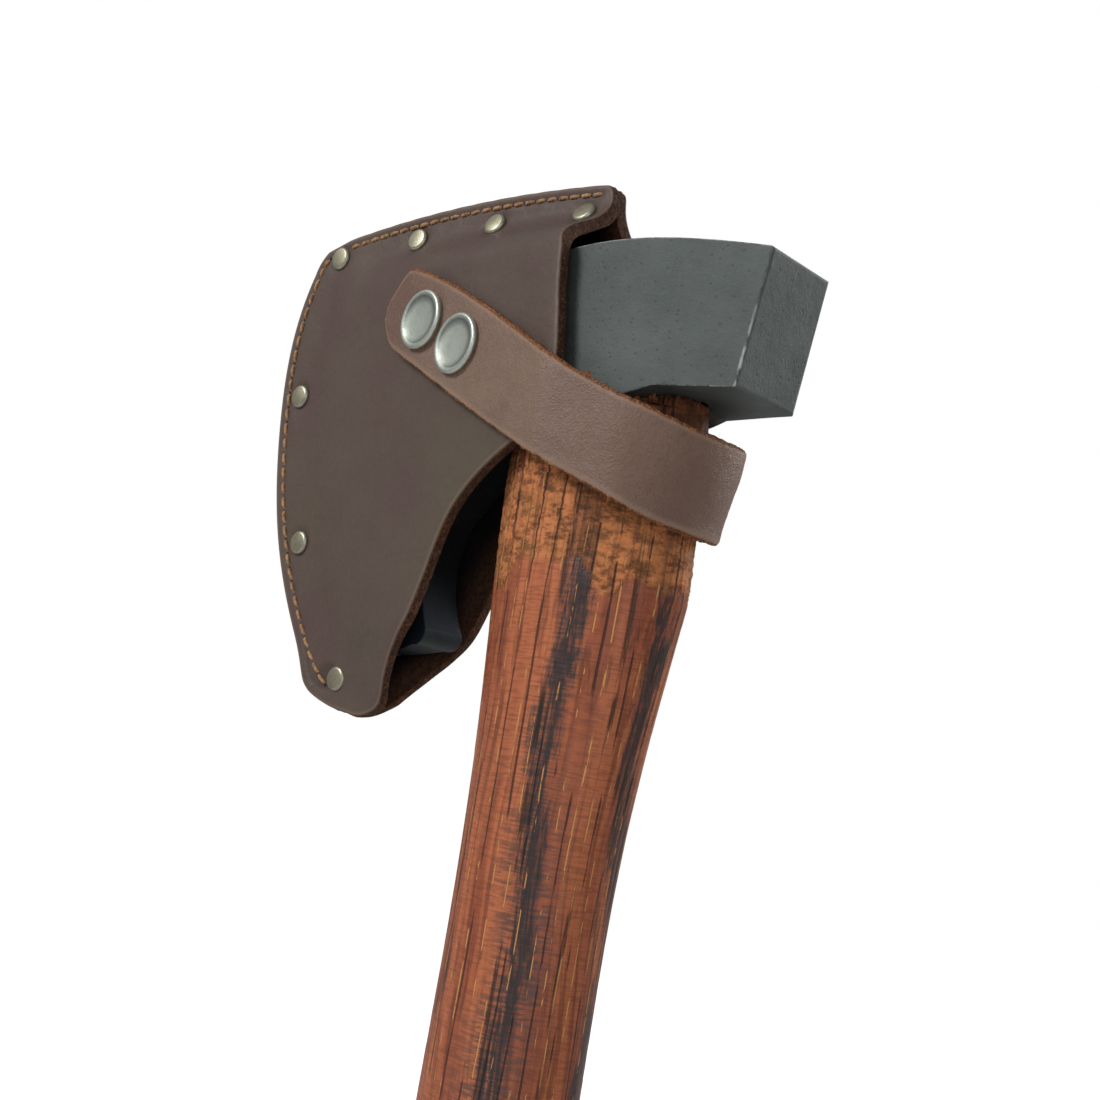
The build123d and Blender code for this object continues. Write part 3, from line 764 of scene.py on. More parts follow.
def filled(ring):
    """Lattice points inside a ring, joined to it by triangles. Returns extra points and faces."""
    low, high = ring.min(0), ring.max(0)
    rows = int((high[1] - low[1]) / (LATTICE_STEP * 0.866)) + 1
    columns = int((high[0] - low[0]) / LATTICE_STEP) + 1
    lattice = []
    for r in range(rows):
        shift = 0.5 * (r % 2)
        for c in range(columns):
            lattice.append((low[0] + (c + shift) * LATTICE_STEP, low[1] + r * LATTICE_STEP * 0.866))
    lattice = np.array(lattice)
    away = ring - np.array(PANEL_CENTRE)
    angle = np.arctan2(away[:, 1], away[:, 0])
    order = np.argsort(angle)
    radius = np.linalg.norm(away, axis=1)[order]
    own = lattice - np.array(PANEL_CENTRE)
    own_angle = np.arctan2(own[:, 1], own[:, 0])
    reach = np.interp(own_angle, angle[order], radius, period=2 * math.pi)
    lattice = lattice[np.linalg.norm(own, axis=1) < reach - 0.1]
    lattice = lattice[nearest(lattice, ring) > LATTICE_STEP * 0.6]
    count = len(ring)
    points = [Vector(p) for p in np.vstack([ring, lattice])]
    edges = [(i, (i + 1) % count) for i in range(count)]
    result = delaunay_2d_cdt(points, edges, [], 1, 1e-6)
    origin = [group[0] for group in result[3]]
    faces = [tuple(origin[i] for i in face) for face in result[2]]
    return lattice, faces


def stitch_line():
    """Centre, direction and length of each stitch of the CAD thread, by side."""
    found = {-1: [], 1: []}
    for cloud in solids_of("sheath_thread"):
        middle = (cloud.min(0) + cloud.max(0)) / 2
        axis = np.linalg.svd(cloud - cloud.mean(0))[2][0]
        length = np.ptp((cloud - middle) @ axis)
        found[-1 if middle[1] < 0 else 1].append((middle, axis, length))
    return found


def draw_in(verts, side):
    """The two sides are pressed together at the opening's ends, so their free edges draw in there."""
    x, z = verts[:, 0].copy(), verts[:, 2].copy()
    verts[:, 0] -= CORNER_PINCH[side] * smooth((x + 14.0) / 9.0) * smooth((z - 14.0) / 8.0)
    verts[:, 0] -= TOE_PINCH * smooth((-66.0 - z) / 20.0) * smooth((x + 88.0) / 16.0)
    verts[:, 2] += TOE_LIFT * smooth((-84.0 - z) / 9.0)
    if side > 0:
        verts[:, 0] -= MOUTH_PINCH * smooth((-36.0 - z) / 16.0) * smooth((x + 78.0) / 22.0)


def panel_walls(top, bottom, normals):
    """Rows of points down the rough cut edge, between the rims of the two faces."""
    count = len(normals)
    wall = []
    for row in range(1, WALL_ROWS):
        t = row / WALL_ROWS
        line = top[:count] * (1 - t) + bottom[:count] * t
        bulge = 0.16 * math.sin(math.pi * t)
        rough = 0.17 * fractal(line, (0.8, 0.6, 0.8), 3, 21) - 0.12 * np.abs(fractal(line, 2.4, 2, 33))
        push = (bulge + rough) * math.sin(math.pi * t) ** 0.35
        line[:, 0] += normals[:, 0] * push
        line[:, 2] += normals[:, 1] * push
        wall.append(line)
    return wall


def panel_faces(count, flat, fill, side):
    """The faces of the outer skin, the inner skin and the cut edge."""
    faces = tube(len(RING_INSETS), count)
    start = (len(RING_INSETS) - 1) * count
    faces += [tuple(start + i for i in face) for face in fill]
    lower = flipped([tuple(i + flat for i in face) for face in faces])
    edge = [0] + [2 * flat + k * count for k in range(WALL_ROWS - 1)] + [flat]
    for first, second in zip(edge[:-1], edge[1:]):
        lower += strip(second, first, count)
    faces += lower
    return flipped(faces) if side > 0 else faces


def make_panel(name, side, look, stitches, rivets, snaps):
    """One leather side: a closed skin with a rounded arris, rough cut edges, and a stitching groove."""
    holes = np.array([p[[0, 2]] for p in rivets] + [p[[0, 2]] for p in snaps])
    loop = panel_loop(name, holes)
    normals = loop_normals(loop)
    outer, inner = Heights(name, side, True), Heights(name, side, False)
    count = len(loop)
    rings = [loop - normals * inset for inset in RING_INSETS]
    extra, fill = filled(rings[-1])
    face_points = np.vstack(rings + [extra])
    inset = np.concatenate([np.full(count, d) for d in RING_INSETS] + [np.full(len(extra), 99.0)])
    flat = len(face_points)
    drop = np.where(inset < ARRIS, ARRIS - np.sqrt(np.maximum(ARRIS**2 - (ARRIS - inset) ** 2, 0)), 0.0)
    seam = [m[[0, 2]] + a[[0, 2]] * t for m, a, _ in stitches[side] for t in (-1.5, -0.75, 0, 0.75, 1.5)]
    from_seam = nearest(face_points, np.array(seam))
    rivet_points = np.array([p[[0, 2]] for p in rivets])
    from_rivet = nearest(face_points, rivet_points)
    solid = np.stack([face_points[:, 0], np.zeros(flat), face_points[:, 1]], 1)
    sink = drop + GROOVE_DEPTH * np.exp(-((from_seam / GROOVE_WIDTH) ** 2))
    sink += RIVET_DIMPLE * np.exp(-(np.maximum(from_rivet - 2.4, 0) ** 2) / 2.6)
    sink += 0.12 * fractal(solid + np.array([0, side * 40.0, 0]), 16.0, 3, 5) * smooth((inset - 0.5) / 3)
    height = outer.at(face_points) - sink
    top = np.stack([face_points[:, 0], side * height, face_points[:, 1]], 1)
    low_height = inner.at(face_points) + 0.4 * np.where(inset < ARRIS, drop, 0.0)
    low_height += 0.08 * fractal(solid + np.array([7.0, side * 11.0, 3.0]), 2.0, 3, 9) * (inset > 0.2)
    low_height = np.maximum(low_height, 0.06)
    bottom = np.stack([face_points[:, 0], side * low_height, face_points[:, 1]], 1)
    verts = np.vstack([top, bottom] + panel_walls(top, bottom, normals))
    draw_in(verts, side)
    faces = panel_faces(count, flat, fill, side)
    # Painted shade mask: a dark ring round each rivet cap and a softer line along the stitch groove.
    dark = np.exp(-(np.maximum(from_rivet - 3.0, 0) ** 2) / 0.5) + 0.5 * np.exp(-((from_seam / 0.6) ** 2))
    # Painted shade mask: grows with distance in from the panel's edge.
    deep_inside_shade = smooth((nearest(face_points, loop) - 1.5) / 8.0)
    none, ones, walls = np.zeros(flat), np.ones(flat), np.zeros(count * (WALL_ROWS - 1))
    marks = {
        "cut": np.concatenate([smooth((0.2 - inset) / 0.2), smooth((0.3 - inset) / 0.3), walls + 1.0]),
        "inner": np.concatenate([none, ones, walls]),
        "rim": np.concatenate([np.exp(-(((inset - 0.55) / 0.3) ** 2)), none, walls]),
        "painted_shade": np.concatenate([np.clip(dark, 0, 1), none, walls]),
        "deep": np.concatenate([none, deep_inside_shade, walls]),
    }
    obj = make_piece("leather_" + name, verts, faces, look, marks)
    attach(obj, "sheath")
    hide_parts(name)
    return outer


def thread_piece(stitches, heights, look):
    """Bent, twisted stitches that dip into awl holes, each hole a near-black disc of painted shade."""
    parts, hole_shade_discs = [], []
    rows, sides = STITCH_ROWS, STITCH_SIDES
    for side in (-1, 1):
        for k, (middle, axis, length) in enumerate(stitches[side]):
            axis = axis if axis @ np.array([1.0, 0, 0.4]) > 0 else -axis
            lean = np.cross(axis, np.array([0.0, side, 0.0]))
            flat = middle[[0, 2]][None, :]
            seat = heights[side].at(flat)[0] - GROOVE_DEPTH
            verts = []
            for r in range(rows):
                t = 2.0 * r / (rows - 1) - 1.0
                lift = 0.3 - 0.75 * t**4
                body = 0.43 * math.sqrt(max(1.0 - 0.55 * t**4, 0.05))
                centre = np.array([middle[0], side * (seat + lift), middle[2]])
                centre = centre + axis * (t * length * 0.56) + lean * (0.16 * t * side)
                for s in range(sides):
                    a = 2 * math.pi * s / sides
                    twist = 1.0 + 0.13 * math.cos(2 * (a - 2.6 * t * math.pi / 2) + k)
                    out = lean * math.cos(a) + np.array([0.0, side, 0.0]) * math.sin(a)
                    verts.append(centre + out * body * twist)
            faces = tube(rows, sides)
            faces += [tuple(range(sides)), tuple(reversed(range((rows - 1) * sides, rows * sides)))]
            parts.append((verts, flipped(faces) if side < 0 else faces))
            hole = middle + axis * (length * 0.5 + 0.5)
            hole_seat = heights[side].at(hole[[0, 2]][None, :])[0] - GROOVE_DEPTH
            place = (hole[0], side * (hole_seat + 0.05), hole[2])
            # A flat disc, coloured as painted shade, stands for each awl hole.
            profile = [(0.02, -0.02), (0.25, 0.0), (0.42, 0.03), (0.5, -0.08)]
            hole_shade_discs.append(turned(profile, place, (0, side, 0), 12))
    verts, faces = joined(parts)
    dark_verts, dark_faces = joined(hole_shade_discs)
    mark = np.concatenate([np.zeros(len(verts)), np.ones(len(dark_verts))])
    verts, faces = joined([(verts, faces), (dark_verts, dark_faces)])
    obj = make_piece("stitching", verts, faces, look, {"hole": mark})
    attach(obj, "sheath")
    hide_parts("sheath_thread")


# ---------------------------------------------------------------- metal fasteners


def rivet_profile(radius, height, skirt):
    """A flat dome with a rounded shoulder that runs down into the leather."""
    points = [(0.01, height)]
    for k in range(1, 7):
        r = radius * 0.72 * k / 6
        points.append((r, height - 0.14 * height * (k / 6) ** 2))
    for k in range(1, 8):
        a = math.radians(90 - 90 * k / 7)
        points.append((radius * (0.72 + 0.28 * math.cos(a)), height * 0.86 * math.sin(a)))
    return points + [(radius, -skirt)]


def cap_profile(radius, height):
    """A snap cap: rolled rim, and a shallow dish inside it."""
    rim = 1.15
    points = [(0.01, height - 0.62), (radius * 0.3, height - 0.6), (radius * 0.55, height - 0.54)]
    points += [(radius * 0.7, height - 0.42), (radius - rim - 0.35, height - 0.2)]
    points += [(radius - rim, height - 0.05)]
    for k in range(0, 9):
        a = math.radians(95 - 130 * k / 8)
        points.append((radius - rim * 0.55 + rim * 0.55 * math.cos(a), height - 0.62 + 0.62 * math.sin(a)))
    return points + [(radius - 0.35, -0.35)]


def seated(heights, places, side, lower=0.0):
    """Where each cap sits on a panel's outer face, with the face's own normal."""
    frames = []
    for place in places:
        x, z = place[0], place[2]
        step = 2.2
        around = np.array([(x, z), (x + step, z), (x - step, z), (x, z + step), (x, z - step)])
        h = heights.at(around)
        normal = np.array([-(h[1] - h[2]) / (2 * step), side, -(h[3] - h[4]) / (2 * step)])
        frames.append((np.array([x, side * (h.mean() - lower), z]), normal / np.linalg.norm(normal)))
    return frames


def metal_piece(name, discs, look, slot, body, *stands_for):
    """Turned caps joined into one piece. discs holds (profile, place, normal)."""
    verts, faces = joined([turned(profile, place, normal) for profile, place, normal in discs])
    rim, painted_shade = [], []
    for profile, _, _ in discs:
        radius = max(r for r, _ in profile)
        dished = len(profile) >= DISHED_POINTS
        for r, _ in profile:
            # dip is the dish under a snap cap's rolled rim, where painted shade is laid.
            dip = math.exp(-(((r - radius * 0.76) / (radius * 0.07)) ** 2))
            rim += [math.exp(-(((r - radius * 0.93) / (radius * 0.06)) ** 2))] * TURNED_SIDES
            painted_shade += [dip if dished else 0.0] * TURNED_SIDES
    obj = make_piece(name, verts, faces, look, {"rim": rim, "painted_shade": painted_shade})
    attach(obj, body)
    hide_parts(*stands_for)


def cap_frames(name):
    """Where each cap of a CAD node sits: the middle of its base, its outward normal and its radius."""
    frames = []
    for cloud in solids_of(name):
        middle = cloud.mean(0)
        spread = np.linalg.svd(cloud - middle, full_matrices=False)[2]
        normal = spread[2]
        side = -1.0 if (cloud[:, 1].min() + cloud[:, 1].max()) < 0 else 1.0
        if normal[1] * side < 0:
            normal = -normal
        along = (cloud - middle) @ normal
        radius = np.linalg.norm((cloud - middle) - np.outer(along, normal), axis=1)
        wide = radius > radius.max() - 0.05
        frames.append((cloud[wide].mean(0), normal, radius.max()))
    return frames


# ---------------------------------------------------------------- strap


def strap_path():
    """The strap's outer face seen from above, from its hidden root to its free tip."""
    far = [(-58.0, 14.36), (-4.0, 22.7), (10.0, 19.5)]
    near = [(10.0, -19.5), (-4.0, -22.7), (-65.5, -13.2)]
    points = [np.array(p) for p in far]
    for k in range(1, 40):
        a = math.radians(90 - 180 * k / 40)
        points.append(np.array([10.0 + 20.0 * math.cos(a), 19.5 * math.sin(a)]))
    points += [np.array(p) for p in near]
    points = np.array(points)
    walked = walked_along(points)
    path = resampled(points, walked, np.linspace(0, walked[-1], int(walked[-1] / STRAP_STEP)))
    even_out(path, 6)
    return path


def strap_edges(path, inward):
    """Heights of the strap's upper and lower edges at each station, read from the CAD straps."""
    trees = [cad_tree(n) for n in ("strap_anchor", "strap_far", "strap_rear", "strap_near", "strap_tip")]
    high, low = np.full(len(path), np.nan), np.full(len(path), np.nan)
    for i, (p, n) in enumerate(zip(path, inward)):
        x, y = p + n * STRAP_THICKNESS / 2
        for tree in trees:
            up = tree.ray_cast(Vector((x, y, 60.0)), Vector((0, 0, -1)))
            down = tree.ray_cast(Vector((x, y, -90.0)), Vector((0, 0, 1)))
            if up[0] is not None and down[0] is not None:
                high[i] = up[0].z
                low[i] = down[0].z
    known = ~np.isnan(high)
    index = np.arange(len(path))
    high, low = np.interp(index, index[known], high[known]), np.interp(index, index[known], low[known])
    even_out(high, 5)
    even_out(low, 5)
    left = (index[-1] - index) * STRAP_STEP
    share = 0.62 + 0.38 * np.sqrt(np.clip(1 - (1 - np.clip(left / 3.0, 0, 1)) ** 2, 0, 1))
    middle, half = (high + low) / 2, (high - low) / 2
    return middle + half * share, middle - half * share


def band_profile():
    """Around the strap's section: share of its width, face from 1 to -1, and outer, edge or inner."""
    outer, edge, inner = 0, 1, 2
    profile = [(k / STRAP_ROWS, 1.0, outer) for k in range(STRAP_ROWS + 1)]
    profile += [(1.0, 1.0 - 2.0 * k / STRAP_EDGE_STEPS, edge) for k in range(1, STRAP_EDGE_STEPS)]
    profile += [(1.0 - k / STRAP_ROWS, -1.0, inner) for k in range(STRAP_ROWS + 1)]
    profile += [(0.0, -1.0 + 2.0 * k / STRAP_EDGE_STEPS, edge) for k in range(1, STRAP_EDGE_STEPS)]
    return profile


def strap_piece(name, chosen, path, inward, high, low, look, dimples, ends):
    """A stretch of the strap as a closed band with soft, rough-cut edges."""
    first, last = chosen
    stations = np.arange(first, last + 1)
    half = STRAP_THICKNESS / 2
    profile = band_profile()
    verts, cut, inner, rim, bend_shade, tip = [], [], [], [], [], []
    for i in stations:
        p, n = path[i], inward[i]
        width = high[i] - low[i]
        for t, face, kind in profile:
            z = low[i] + width * t
            from_edge = min(t, 1 - t) * width
            round_off = 0.55 * max(0.0, 1 - from_edge / 0.9) ** 2 if kind != 1 else 0.55 * abs(face) ** 3
            depth = half - face * (half - round_off)
            swell = 0.0 if kind != 1 else (0.12 if t > 0.5 else -0.12) * (1 - face**2)
            verts.append((p[0] + n[0] * depth, p[1] + n[1] * depth, z + swell))
            reach = 0.8 if t > 0.5 else 0.25
            cut.append(1.0 if kind == 1 else float(np.exp(-((from_edge / reach) ** 2))))
            inner.append(1.0 if kind == 2 else 0.0)
            rim.append(math.exp(-(((from_edge - 0.75) / 0.45) ** 2)) if kind == 0 else 0.0)
            # Painted shade mask: strongest where the strap turns round the handle's back.
            bend_shade.append(math.exp(-(((p[0] - 15.0) / 12.0) ** 2)) * 0.8)
            tip.append(float(smooth((-44.0 - p[0]) / 16.0)))
    verts = np.array(verts)
    down = np.repeat(high[stations], len(profile)) - verts[:, 2]
    verts[:, 0] -= STRAP_TUCK * smooth((verts[:, 0] - 12.0) / 16.0) * smooth(down / 22.0)
    normal = np.repeat(inward[stations], len(profile), axis=0)
    cut, inner = np.array(cut), np.array(inner)
    rough = fractal(verts, 0.9, 3, 51) * cut
    upward = np.tile([1.0 if t > 0.5 else -1.0 for t, _, _ in profile], len(stations))
    verts[:, 2] += 0.26 * rough * upward
    wavy = 0.16 * fractal(verts, (14.0, 14.0, 9.0), 3, 61) * (1 - cut)
    for place, reach, deep in dimples:
        distance = np.linalg.norm(verts - place, axis=1)
        wavy += deep * np.exp(-((distance / reach) ** 4)) * (inner < 0.5)
    wavy += 0.05 * fractal(verts, 1.1, 2, 71) * (1 - cut)
    verts[:, 0] += normal[:, 0] * wavy
    verts[:, 1] += normal[:, 1] * wavy
    ring = len(profile)
    faces = tube(len(stations), ring)
    marks = {"cut": cut, "inner": inner, "rim": rim, "bend_shade": bend_shade, "tip": tip}
    for closed, base in zip(ends, (0, (len(stations) - 1) * ring)):
        if closed:
            start = len(verts)
            verts = np.vstack([verts, verts[base : base + ring]])
            cap = tuple(range(start, start + ring))
            faces.append(tuple(reversed(cap)) if base == 0 else cap)
            for mark in marks:
                fresh = np.ones(ring) if mark == "cut" else np.asarray(marks[mark])[base : base + ring]
                marks[mark] = np.concatenate([marks[mark], fresh])
    return make_piece(name, verts, faces, look, marks)


def make_strap(look, snaps, rivets):
    path = strap_path()
    tangent = np.gradient(path, axis=0)
    tangent /= np.linalg.norm(tangent, axis=1)[:, None]
    inward = np.stack([tangent[:, 1], -tangent[:, 0]], 1)
    high, low = strap_edges(path, inward)
    index = np.arange(len(path))
    middle = int(np.argmax(path[:, 0]))
    far_cut = int(index[(index < middle) & (path[:, 0] < 6.0)][-1])
    near_cut = int(index[(index > middle) & (path[:, 0] < 6.0)][0])
    dimples = [(place, 8.6, 0.35) for place, _, _ in snaps] + [(place, 5.2, 0.3) for place, _, _ in rivets]
    near_nodes = ("strap_near", "strap_tip")
    front, behind = (-12, 0, 0), (4, 0, 0)
    far_bend, rear, near_bend = (10, 18.2, 0), (28.7, 0, 0), (10, -18.2, 0)
    far, loop, near, tip = "strap_far_leg", "strap_loop", "strap_near_leg", "strap_end"
    pieces = [
        ("strap_root", (0, far_cut), "sheath", far, front, behind, ("strap_anchor", "strap_far")),
        ("strap_turn", (far_cut, middle), far, loop, far_bend, rear, ("strap_rear",)),
        ("strap_turn_near", (middle, near_cut), loop, near, rear, near_bend, ()),
        ("strap_flap", (near_cut, len(path) - 1), near, tip, behind, front, near_nodes),
    ]
    for name, chosen, a, b, start, end, stands_for in pieces:
        ends = (chosen[0] == 0, chosen[1] == len(path) - 1)
        obj = strap_piece(name, chosen, path, inward, high, low, look, dimples, ends)
        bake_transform(obj)
        if stands_for:
            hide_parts(*stands_for)


# ---------------------------------------------------------------- handle


def handle_levels():
    """Heights of the handle's rings, closer together at the shoulder and the butt."""
    levels = list(np.arange(17.8, -11.0, -1.2)) + list(np.arange(-11.0, -26.0, -0.4))
    levels += list(np.arange(-26.0, -72.0, -0.6)) + list(np.arange(-72.0, -355.0, -1.0))
    return np.array(levels + list(np.arange(-355.0, -360.0, -0.4)))


def handle_grid(levels, turn):
    """The handle's radius at each height and turn, read from the CAD solid."""
    tree = cad_tree("handle")
    grid = np.zeros((len(levels), HANDLE_SIDES))
    for i, z in enumerate(levels):
        for k, a in enumerate(turn):
            way = Vector((-math.cos(a), -math.sin(a), 0))
            hit = tree.ray_cast(Vector((80 * math.cos(a), 80 * math.sin(a), z)), way)
            if hit[0] is None:
                grid[i, k] = grid[i - 1, k]
            else:
                grid[i, k] = math.hypot(hit[0].x, hit[0].y)
    for k in range(HANDLE_SIDES):
        neighbour = 0.5 * (grid[:, k - 1] + grid[:, (k + 1) % HANDLE_SIDES])
        bad = grid[:, k] < 1.0
        grid[bad, k] = neighbour[bad]
    return grid


def handle_surface(grid, levels, turn):
    """The grid's points with rasp marks and raised grain, and how rasped each point is."""
    z = np.repeat(levels, HANDLE_SIDES)
    a = np.tile(turn, len(levels))
    flat = grid.ravel()
    surface = np.stack([flat * np.cos(a), flat * np.sin(a), z], 1)
    border = RASP_END + 5.0 * fractal(surface * np.array([1, 1, 0.15]), 7.0, 4, 81)
    rasped = smooth((z - border) / 1.6) * (z < HANDLE_IN_EYE)
    rows = fractal(surface, (1.6, 1.6, 0.9), 3, 91)
    gouge = np.abs(fractal(surface, (5.0, 5.0, 1.3), 3, 93))
    push = rasped * (0.16 * rows - 0.35 * gouge) + 0.05 * fractal(surface, (1.1, 1.1, 30.0), 3, 95)
    push += 0.1 * fractal(surface, (9.0, 9.0, 60.0), 2, 97)
    back = smooth((np.cos(a) - 0.1) / 0.7)
    push -= back * (1.6 * smooth((z + 58.0) / 16.0) + 2.0 * smooth((z + 34.0) / 18.0))
    radius = flat + np.where(z > HANDLE_IN_EYE, 0.0, push)
    return np.stack([radius * np.cos(a), radius * np.sin(a), z], 1), rasped


def close_ends(verts, faces, last_ring):
    """Closes the handle's ends with shrinking rings. The rings of the butt's end are set in a little."""
    for base, rise in ((0, 0.0), (last_ring, BUTT_DISH)):
        outline = verts[base : base + HANDLE_SIDES]
        middle = outline.mean(0)
        previous = base
        for share in (0.93, 0.7, 0.4, 0.12):
            ring = middle + (outline - middle) * share
            ring[:, 2] += 0.05 * fractal(ring, 1.5, 2, 99) + rise
            start = len(verts)
            verts = np.vstack([verts, ring])
            quads = strip(previous, start, HANDLE_SIDES)
            faces += flipped(quads) if base else quads
            previous = start
        last = tuple(range(previous, previous + HANDLE_SIDES))
        faces.append(tuple(reversed(last)) if base else last)
    return verts


def handle_piece(look):
    """The handle as a grid of rings with closed ends, and the marks that its look reads."""
    levels = handle_levels()
    turn = np.arange(HANDLE_SIDES) * 2 * math.pi / HANDLE_SIDES
    grid = handle_grid(levels, turn)
    verts, rasped = handle_surface(grid, levels, turn)
    sides = len(verts)
    faces = flipped(tube(len(levels), HANDLE_SIDES))
    verts = close_ends(verts, faces, sides - HANDLE_SIDES)
    widest = grid[int(np.argmin(np.abs(levels - AROUND_LEVEL)))]
    marks = {
        "rasped": np.concatenate([rasped, np.zeros(len(verts) - sides)]),
        "endgrain": np.arange(len(verts)) >= sides,
        "around": np.tile(np.cumsum(widest) * 2 * math.pi / HANDLE_SIDES, len(verts) // HANDLE_SIDES),
    }
    obj = make_piece("wood_handle", verts, faces, look, marks)
    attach(obj, "axe")
    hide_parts("handle")


def splinters(look):
    """Torn slivers of wood that stand up at the shoulder, under the poll."""
    parts = []
    random = np.random.default_rng(7)
    for k in range(SPLINTERS):
        a = math.radians(random.uniform(-55, -6))
        wide = random.uniform(0.5, 1.5)
        tall = random.uniform(1.2, 3.4)
        base = np.array([20.6 * math.cos(a), 14.2 * math.sin(a), -17.5])
        out = np.array([math.cos(a), math.sin(a), 0.0])
        side = np.array([-math.sin(a), math.cos(a), 0.0])
        lean = random.uniform(0.05, 0.35)
        verts = []
        for r in range(6):
            t = r / 5
            w = wide * (1 - 0.75 * t**1.5) * (1 + 0.25 * math.sin(9 * t + k))
            thick = 0.55 * (1 - 0.6 * t)
            centre = base + np.array([0, 0, tall * t]) + out * (lean * tall * t * t)
            for s, d in ((-1, -0.4), (-0.3, 1), (0.5, 0.9), (1, -0.2), (0.2, -1), (-0.5, -1)):
                verts.append(centre + side * s * w * 0.5 + out * d * thick)
        faces = tube(6, 6)
        faces.append(tuple(range(30, 36)))
        parts.append((verts, faces))
    verts, faces = joined(parts)
    marks = {"rasped": np.ones(len(verts))}
    obj = make_piece("shoulder_splinters", verts, faces, look, marks)
    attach(obj, "axe")


# ---------------------------------------------------------------- stage


def area_light(name, place, target, size, power):
    light = bpy.data.lights.new(name, "AREA")
    light.shape = "DISK"
    light.size = size
    light.energy = power
    obj = bpy.data.objects.new(name, light)
    bpy.context.scene.collection.objects.link(obj)
    obj.location = place
    obj.rotation_euler = (Vector(target) - Vector(place)).to_track_quat("-Z", "Y").to_euler()


def make_stage():
    look = Look("pale_floor")
    cloud = look.noise(180.0, 2.0, 0.5)
    base = look.over((205, 205, 205), cloud, 0.08, (196, 196, 196))
    seen = look.add("ShaderNodeLightPath").outputs["Is Camera Ray"]
    glow = look.times(seen, FLOOR_GLOW)
    material = look.done(base, 0.8, None, Emission_Color=(1.0, 1.0, 1.0, 1.0), Emission_Strength=glow)
    side, floor_z = FLOOR_HALF_SIDE / 1000.0, cad_low.z - FLOOR_DROP / 1000.0
    verts = [(x * side, y * side, floor_z) for x, y in ((-1, -1), (1, -1), (1, 1), (-1, 1))]
    mesh = bpy.data.meshes.new("floor")
    mesh.from_pydata(verts, [], [(0, 1, 2, 3)])
    mesh.materials.append(material)
    floor = bpy.data.objects.new("floor", mesh)
    bpy.context.scene.collection.objects.link(floor)
    world = bpy.data.worlds.new("studio")
    bpy.context.scene.world = world
    world.use_nodes = True
    tree = world.node_tree
    background = tree.nodes["Background"]
    background.inputs["Color"].default_value = (1.0, 1.0, 1.0, 1.0)
    seen = tree.nodes.new("ShaderNodeLightPath").outputs["Is Camera Ray"]
    strength = tree.nodes.new("ShaderNodeMapRange")
    strength.inputs["To Min"].default_value = AMBIENT
    strength.inputs["To Max"].default_value = 1.0
    tree.links.new(seen, strength.inputs["Value"])
    tree.links.new(strength.outputs["Result"], background.inputs["Strength"])
    head = Vector((-0.03, 0.0, (LIFT - 30.0) / 1000.0))
    area_light("key", head + Vector((-0.55, -1.15, 0.8)), head, 0.6, 11.5)
    area_light("fill", head + Vector((0.9, -1.0, 0.2)), head, 0.9, 2.4)
    area_light("back", head + Vector((0.4, 1.2, 0.7)), head, 0.9, 10.0)
    bpy.context.scene.view_settings.view_transform = "Standard"


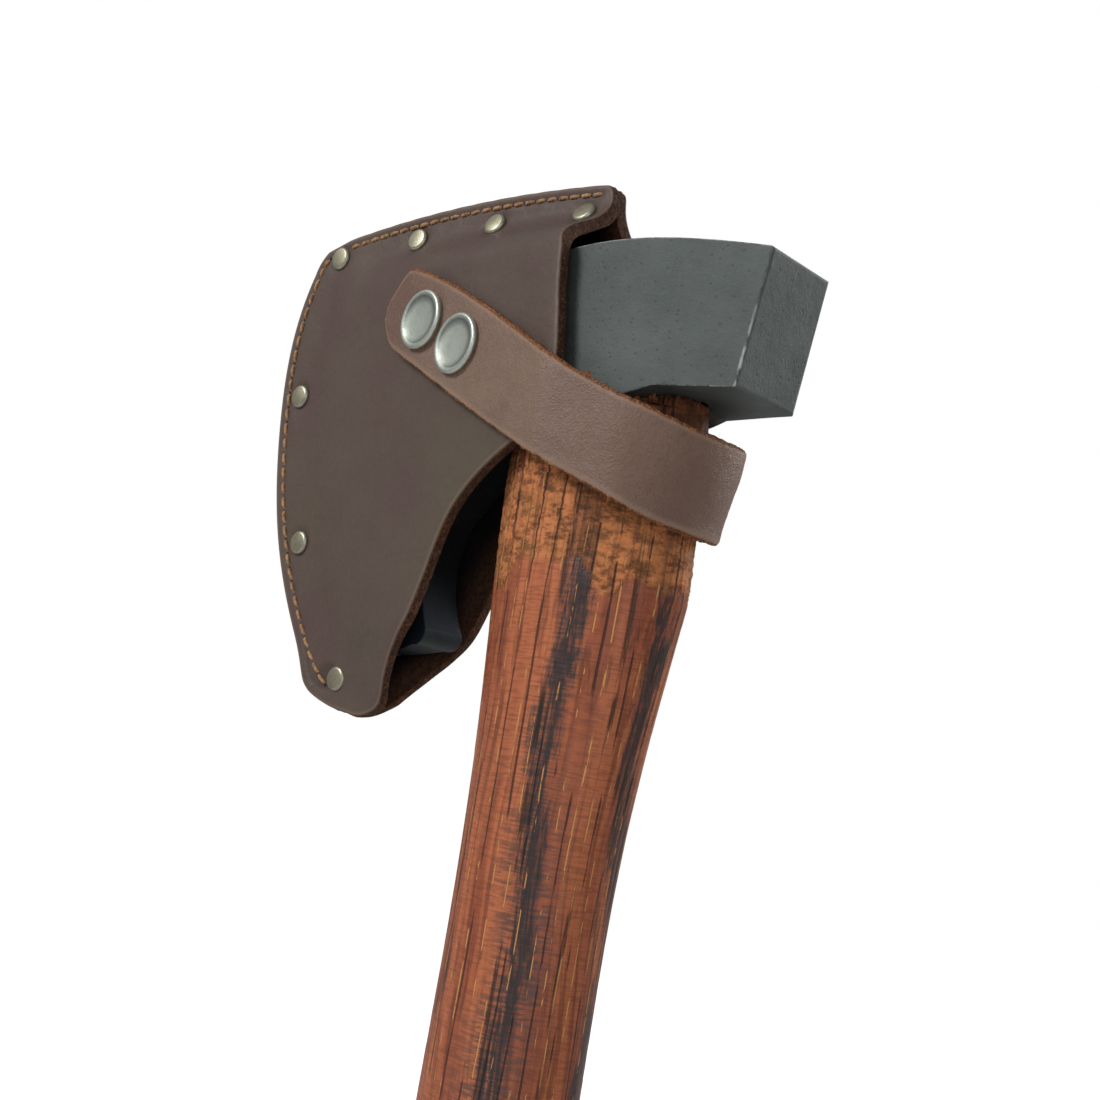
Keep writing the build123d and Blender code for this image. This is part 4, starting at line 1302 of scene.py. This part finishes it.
def make_camera():
    turn, rise, roll = (math.radians(v) for v in (CAMERA_TURN, CAMERA_RISE, CAMERA_ROLL))
    back = Vector((math.sin(turn) * math.cos(rise), -math.cos(turn) * math.cos(rise), math.sin(rise)))
    level = Vector((math.cos(turn), math.sin(turn), 0.0))
    upright = level.cross(-back)
    right = math.cos(roll) * level + math.sin(roll) * upright
    up = -math.sin(roll) * level + math.cos(roll) * upright
    data = bpy.data.cameras.new("camera")
    data.sensor_width = CAMERA_SENSOR
    data.lens = CAMERA_LENS
    data.clip_start = 0.01
    data.clip_end = 50.0
    camera = bpy.data.objects.new("camera", data)
    bpy.context.scene.collection.objects.link(camera)
    basis = Matrix((right, up, back)).transposed().to_4x4()
    place = Vector(CAMERA_PLACE) + Vector((0.0, 0.0, LIFT))
    camera.matrix_world = Matrix.Translation(place / 1000.0) @ basis
    bpy.context.scene.camera = camera


# ---------------------------------------------------------------- build


def paint(name, look):
    obj = nodes[name]
    obj.data.materials.clear()
    obj.data.materials.append(look)


def main():
    stitches = stitch_line()
    rivet_caps = cap_frames("rivet_caps")
    strap_rivets = cap_frames("strap_rivet_caps")
    snap_caps = cap_frames("snap_caps")
    rivet_places = [place for place, _, _ in rivet_caps]
    strap_places = [place for place, _, _ in strap_rivets]
    snap_places = [place for place, _, _ in snap_caps]
    leather = panel_leather()
    heights = {}
    heights[-1] = make_panel("near_panel", -1, leather, stitches, rivet_places, snap_places)
    heights[1] = make_panel("far_panel", 1, leather, stitches, rivet_places, strap_places)
    thread_piece(stitches, heights, waxed_thread())
    strap = strap_leather()
    make_strap(strap, snap_caps, strap_rivets)

    brass = nickel("rivet_metal", (190, 184, 160), (152, 148, 126), 0.36, 3.0)
    silver = nickel("snap_metal", (222, 228, 216), (186, 194, 184), 0.38, 2.0)
    rivet = rivet_profile(RIVET_RADIUS, 1.0, 0.9)
    for side, name, node in ((-1, "rivet_heads", "rivet_caps"), (1, "rivet_heads_far", "rivet_posts")):
        discs = [(rivet, p, n) for p, n in seated(heights[side], rivet_places, side, 0.1)]
        metal_piece(name, discs, brass, "rivet_metal", "sheath", node)
    hidden = [(rivet_profile(STRAP_RIVET_RADIUS, 1.0, 0.7), p, n) for p, n, _ in strap_rivets]
    metal_piece("strap_rivet_heads", hidden, brass, "rivet_metal", "sheath", "strap_rivet_caps")
    caps = [(cap_profile(SNAP_RADIUS, SNAP_HEIGHT), p, n) for p, n, _ in snap_caps]
    metal_piece("snap_heads", caps, silver, "snap_metal", "strap_end", "snap_caps")
    for name in ("snap_sockets", "snap_studs", "snap_posts"):
        paint(name, silver)
    paint("strap_rivet_posts", brass)
    paint("axe_head", forged_steel())
    paint("wood_wedge", wedge_wood())
    paint("steel_wedge", wedge_steel())
    wood = flamed_wood()
    handle_piece(wood)
    splinters(wood)
    make_stage()
    make_camera()


main()
